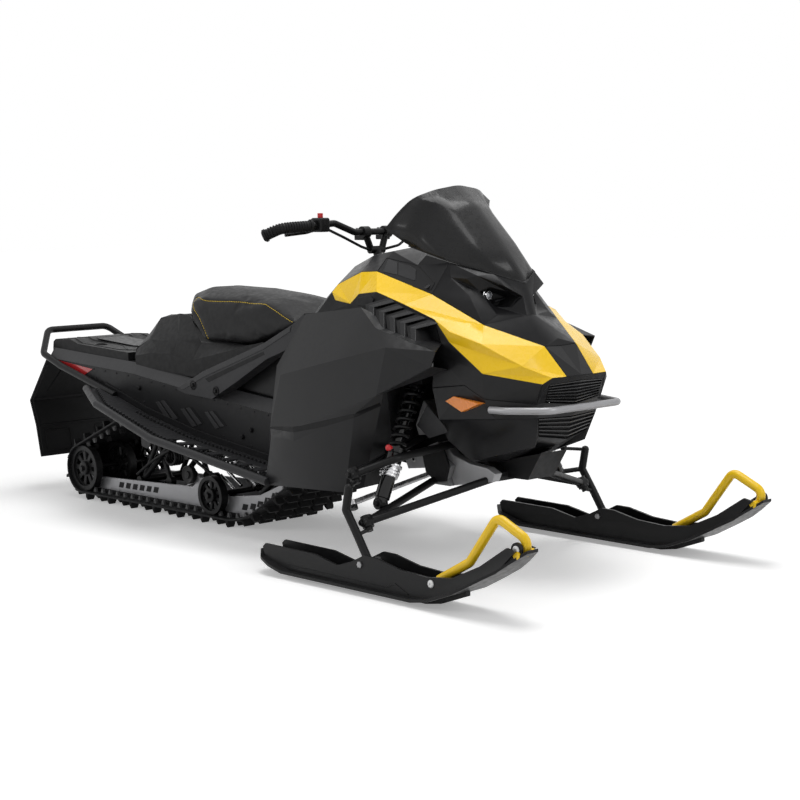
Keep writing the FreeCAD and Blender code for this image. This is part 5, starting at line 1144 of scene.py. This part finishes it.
def makeSkiDetail(look, side):
    def add(name, parts, finish, slot, **how):
        parts = parts if side == "right" else [(mirrored(points), faces) for points, faces in parts]
        piece(name + side.title(), parts, finish, slot + side, **how)

    heads = [turned(spot, outward, look["bolt"], look["sides"]) for spot in look["bolts"]]
    add("skiBolts", heads, "boltWhite", "ski_")
    turn = np.linspace(*np.radians(look["lugArc"]), look["lugSteps"])
    arc = np.stack([np.cos(turn), 0 * turn, np.sin(turn)], axis=1) * look["lugRadius"]
    lug = plate(np.concatenate([arc, look["lugFeet"]]) + look["lug"], (0, look["lugThick"], 0))
    ribs = [sweep(sideSpots(look["side"], row), barOutline(*bar), outward) for row, bar in look["ribs"]]
    add("skiLugs", [lug] + ribs, "skiPlastic", "ski_", smooth=False)
    (outer, inner), size = look["pivot"]
    pivots = bolt(outer, outward, size) + bolt(inner, (0, 1, 0), size)
    add("skiPivotBolts", pivots, "boltSteel", "ski_", crease=25)
    boots = []
    for spot in look["joints"]:
        boots.append(turned(spot, (0, 1, 0), look["boot"], look["sides"]))
        boots += bolt(spot - look["nutShift"], outward, look["nut"])
    add("spindleBoots", boots, "frameBlack", "spindle_")


for side in ("right", "left"):
    makeSkiDetail(skiLook, side)


# Handlebar: ribbed grips with a thicker ring at each end, clamp bolts and blocks (corners from their spot).
barLook = {
    "grip": [(-0.562, 0.262, 1.0715), (-0.597, 0.362, 1.064), (-0.64, 0.398, 1.04)], "radius": 0.0176,
    "step": 0.0085, "ring": [(-0.0028, 0.93), (-0.0016, 1.04), (0.0016, 1.04), (0.0028, 0.93)],
    "endRing": [(-0.003, 1), (-0.003, 1.22), (0.004, 1.22), (0.006, 1)],
    "clamp": at(-0.556, 0.048, 1.04), "bolt": 0.009,
    "boltShifts": [(x, y, 0.016) for x in (-0.016, 0.016) for y in (-0.006, 0.006)],
    "blocks": {
        "clampBlocks": ("frameBlack", "handlebar", 0.002, at(-0.556, 0.048, 1.04),
                        [((-0.023, -0.012, 0.004), (0.023, 0.012, 0.0165)),
                         ((-0.023, -0.012, -0.02), (0.023, 0.012, -0.001))]),
        "controlKeys": ("tubeGrey", "hand_controls", 0.001, at(-0.5585, 0.225, 1.074),
                        [((-0.028, -0.014, 0.004), (-0.0245, 0.014, 0.014)),
                         ((-0.028, -0.014, -0.012), (-0.0245, 0.014, -0.002))])}}


def makeBarDetail(look):
    spot, ahead = spaced(smoothPath(spots(*look["grip"])), look["step"])
    ring, endRing = (np.array(look[key]) * (1, look["radius"]) for key in ("ring", "endRing"))
    rings = [turned(p, a, ring, 18) for p, a in zip(spot[1:-1], ahead[1:-1])]
    rings += [turned(spot[k], ahead[k], endRing, 20) for k in (0, -2)]
    piece("gripRings", bothSides(rings), "gripRubber", "grips")
    heads = []
    for shift in look["boltShifts"]:
        heads += bolt(look["clamp"] + shift, (0, 0, 1), look["bolt"])
    piece("clampBolts", bothSides(heads), "boltSteel", "handlebar", crease=25)
    for name, (finish, slot, bevel, spot, corners) in look["blocks"].items():
        boxes = [box(spot + low, spot + high) for low, high in corners]
        piece(name, bothSides(boxes), finish, slot, smooth=False, bevel=bevel)


makeBarDetail(barLook)


# Side panels: a black strip of painted shade under the panel's lower edge, where the panel shades the facets
# below it, laid on those facets.
panelShadeLook = {"line": [(-0.615, 0.426), (-0.478, 0.431), (-0.35, 0.462), (-0.215, 0.5), (-0.099, 0.562)],
           "width": [0.006, 0.02, 0.03, 0.022, 0.012], "outside": 0.62, "step": 0.012,
           "foot": -0.0006, "narrow": 0.8, "height": 0.0012}


def makePanelShade(look):
    guides = sideSpots(look["outside"], look["line"])
    line = laid("side_panel_right lower_panel_right", guides, (0, 1, 0), 0, look["step"])
    half = np.interp(line[:, 0], guides[:, 0], look["width"]) / 2
    outline = barOutline(half, look["foot"], half * look["narrow"], look["height"])
    gap = sweep(line, outline, outward)
    # painted shade: a black strip, up to 30 mm wide, in place of the side panel's shadow on the lower panel
    piece("panelGaps", bothSides([gap]), "ventBlack", "side_panel_right", smooth=False)


makePanelShade(panelShadeLook)
print("front, skis, handlebar and gaps made")


# Stage, light and camera: the floor and the world are brighter to the eye than to the light they give.
# This is 1 for camera, glossy and transmission rays, and 0 for the rays that carry light.
def seenDirectly(tree):
    path = tree.nodes.new("ShaderNodeLightPath")
    value = path.outputs["Is Camera Ray"]
    for other in ("Is Glossy Ray", "Is Transmission Ray"):
        value = combined(tree, "MAXIMUM", value, path.outputs[other])
    return value


def combined(tree, operation, first, second):
    node = tree.nodes.new("ShaderNodeMath")
    node.operation = operation
    tree.links.new(first, node.inputs[0])
    tree.links.new(second, node.inputs[1])
    return node.outputs[0]


# The floor glows white to the eye by an amount that grows from near the object to far out; the weaker glow
# near it is painted shade that deepens the object's shadow.
def makeStage(look):
    floor = bpy.data.meshes.new("floor")
    r = look["reach"]
    floor.from_pydata([(-r, -r, 0), (r, -r, 0), (r, r, 0), (-r, r, 0)], [], [(0, 1, 2, 3)])
    material, tree, shader, place = finishTree("floorWhite")
    floor.materials.append(material)
    reach = tree.nodes.new("ShaderNodeVectorMath")
    reach.operation = "LENGTH"
    tree.links.new(place, reach.inputs[0])
    share = tree.nodes.new("ShaderNodeMapRange")
    ranges = {"From Min": "near", "From Max": "far", "To Min": "glowNearShaded", "To Max": "glowFar"}
    for socket, key in ranges.items():
        share.inputs[socket].default_value = look[key]
    tree.links.new(reach.outputs["Value"], share.inputs["Value"])
    # painted shade: the glow is weaker near the object, so the floor round it is darker
    lift = combined(tree, "MULTIPLY", seenDirectly(tree), share.outputs["Result"])
    tree.links.new(lift, shader.inputs["Emission Strength"])
    for socket, value in (("Base Color", (*look["tone"], 1)), ("Roughness", look["rough"]),
                          ("Specular IOR Level", 0), ("Emission Color", (1, 1, 1, 1))):
        shader.inputs[socket].default_value = value
    placed("floor", floor)


def makeWorld(strength):
    world = bpy.data.worlds.new("studio")
    bpy.context.scene.world = world
    world.use_nodes = True
    tree = world.node_tree
    background = tree.nodes["Background"]
    background.inputs["Color"].default_value = (1, 1, 1, 1)
    mix = tree.nodes.new("ShaderNodeMix")
    mix.inputs[2].default_value = strength
    mix.inputs[3].default_value = 1
    tree.links.new(seenDirectly(tree), mix.inputs[0])
    tree.links.new(mix.outputs[0], background.inputs["Strength"])


def softBox(name, place, target, size, power):
    lamp = bpy.data.lights.new(name, "AREA")
    lamp.shape, lamp.size, lamp.size_y, lamp.energy = "RECTANGLE", *size, power
    thing = placed(name, lamp)
    thing.location = place
    thing.rotation_euler = (Vector(target) - Vector(place)).to_track_quat("-Z", "Y").to_euler()


# Turned by yaw about up, then pitched down, then rolled about the line of sight.
def makeCamera(view):
    a, e, r = (math.radians(view[k]) for k in ("yaw", "pitch", "roll"))
    ahead = Vector((-math.sin(a) * math.cos(e), math.cos(a) * math.cos(e), -math.sin(e)))
    side = Vector((math.cos(a), math.sin(a), 0))
    up = side.cross(ahead)
    side, up = math.cos(r) * side + math.sin(r) * up, math.cos(r) * up - math.sin(r) * side
    lens = bpy.data.cameras.new("camera")
    lens.lens, lens.sensor_width = view["lens"], view["sensor"]
    camera = placed("camera", lens)
    turn = Matrix((side, up, -ahead)).transposed().to_4x4()
    camera.matrix_world = Matrix.Translation(Vector(view["place"])) @ turn
    bpy.context.scene.camera = camera


# The soft boxes are (place, target, size, power).
# the floor's glow is low near the object and full far out: painted shade round the object
stageLook = {"reach": 30, "tone": (0.94, 0.94, 0.94), "rough": 0.9, "near": 1.6, "far": 4.5, "glowNearShaded": 0.3,
             "glowFar": 0.75, "world": 0.32}
softBoxes = {"overhead": ((0.4, 0.2, 4.4), (0.1, 0, 0.4), (3.6, 2.2), 112),
             "rightSide": ((-1.4, -4.8, 2.6), (-0.3, 0, 0.4), (2.6, 1.0), 38),
             "frontSide": ((4.8, 0.8, 2.6), (0.8, 0, 0.5), (1.4, 1.4), 34)}
cameraView = {"place": (3.91017 + skiBolt, -4.10845, 1.17355), "yaw": 46.59129, "pitch": 6.50664,
              "roll": -0.850135, "lens": 81.7362, "sensor": 36}
makeStage(stageLook)
makeWorld(stageLook["world"])
for name, row in softBoxes.items():
    softBox(name, *row)
makeCamera(cameraView)
bpy.context.scene.view_settings.view_transform = "Standard"
print("stage set")
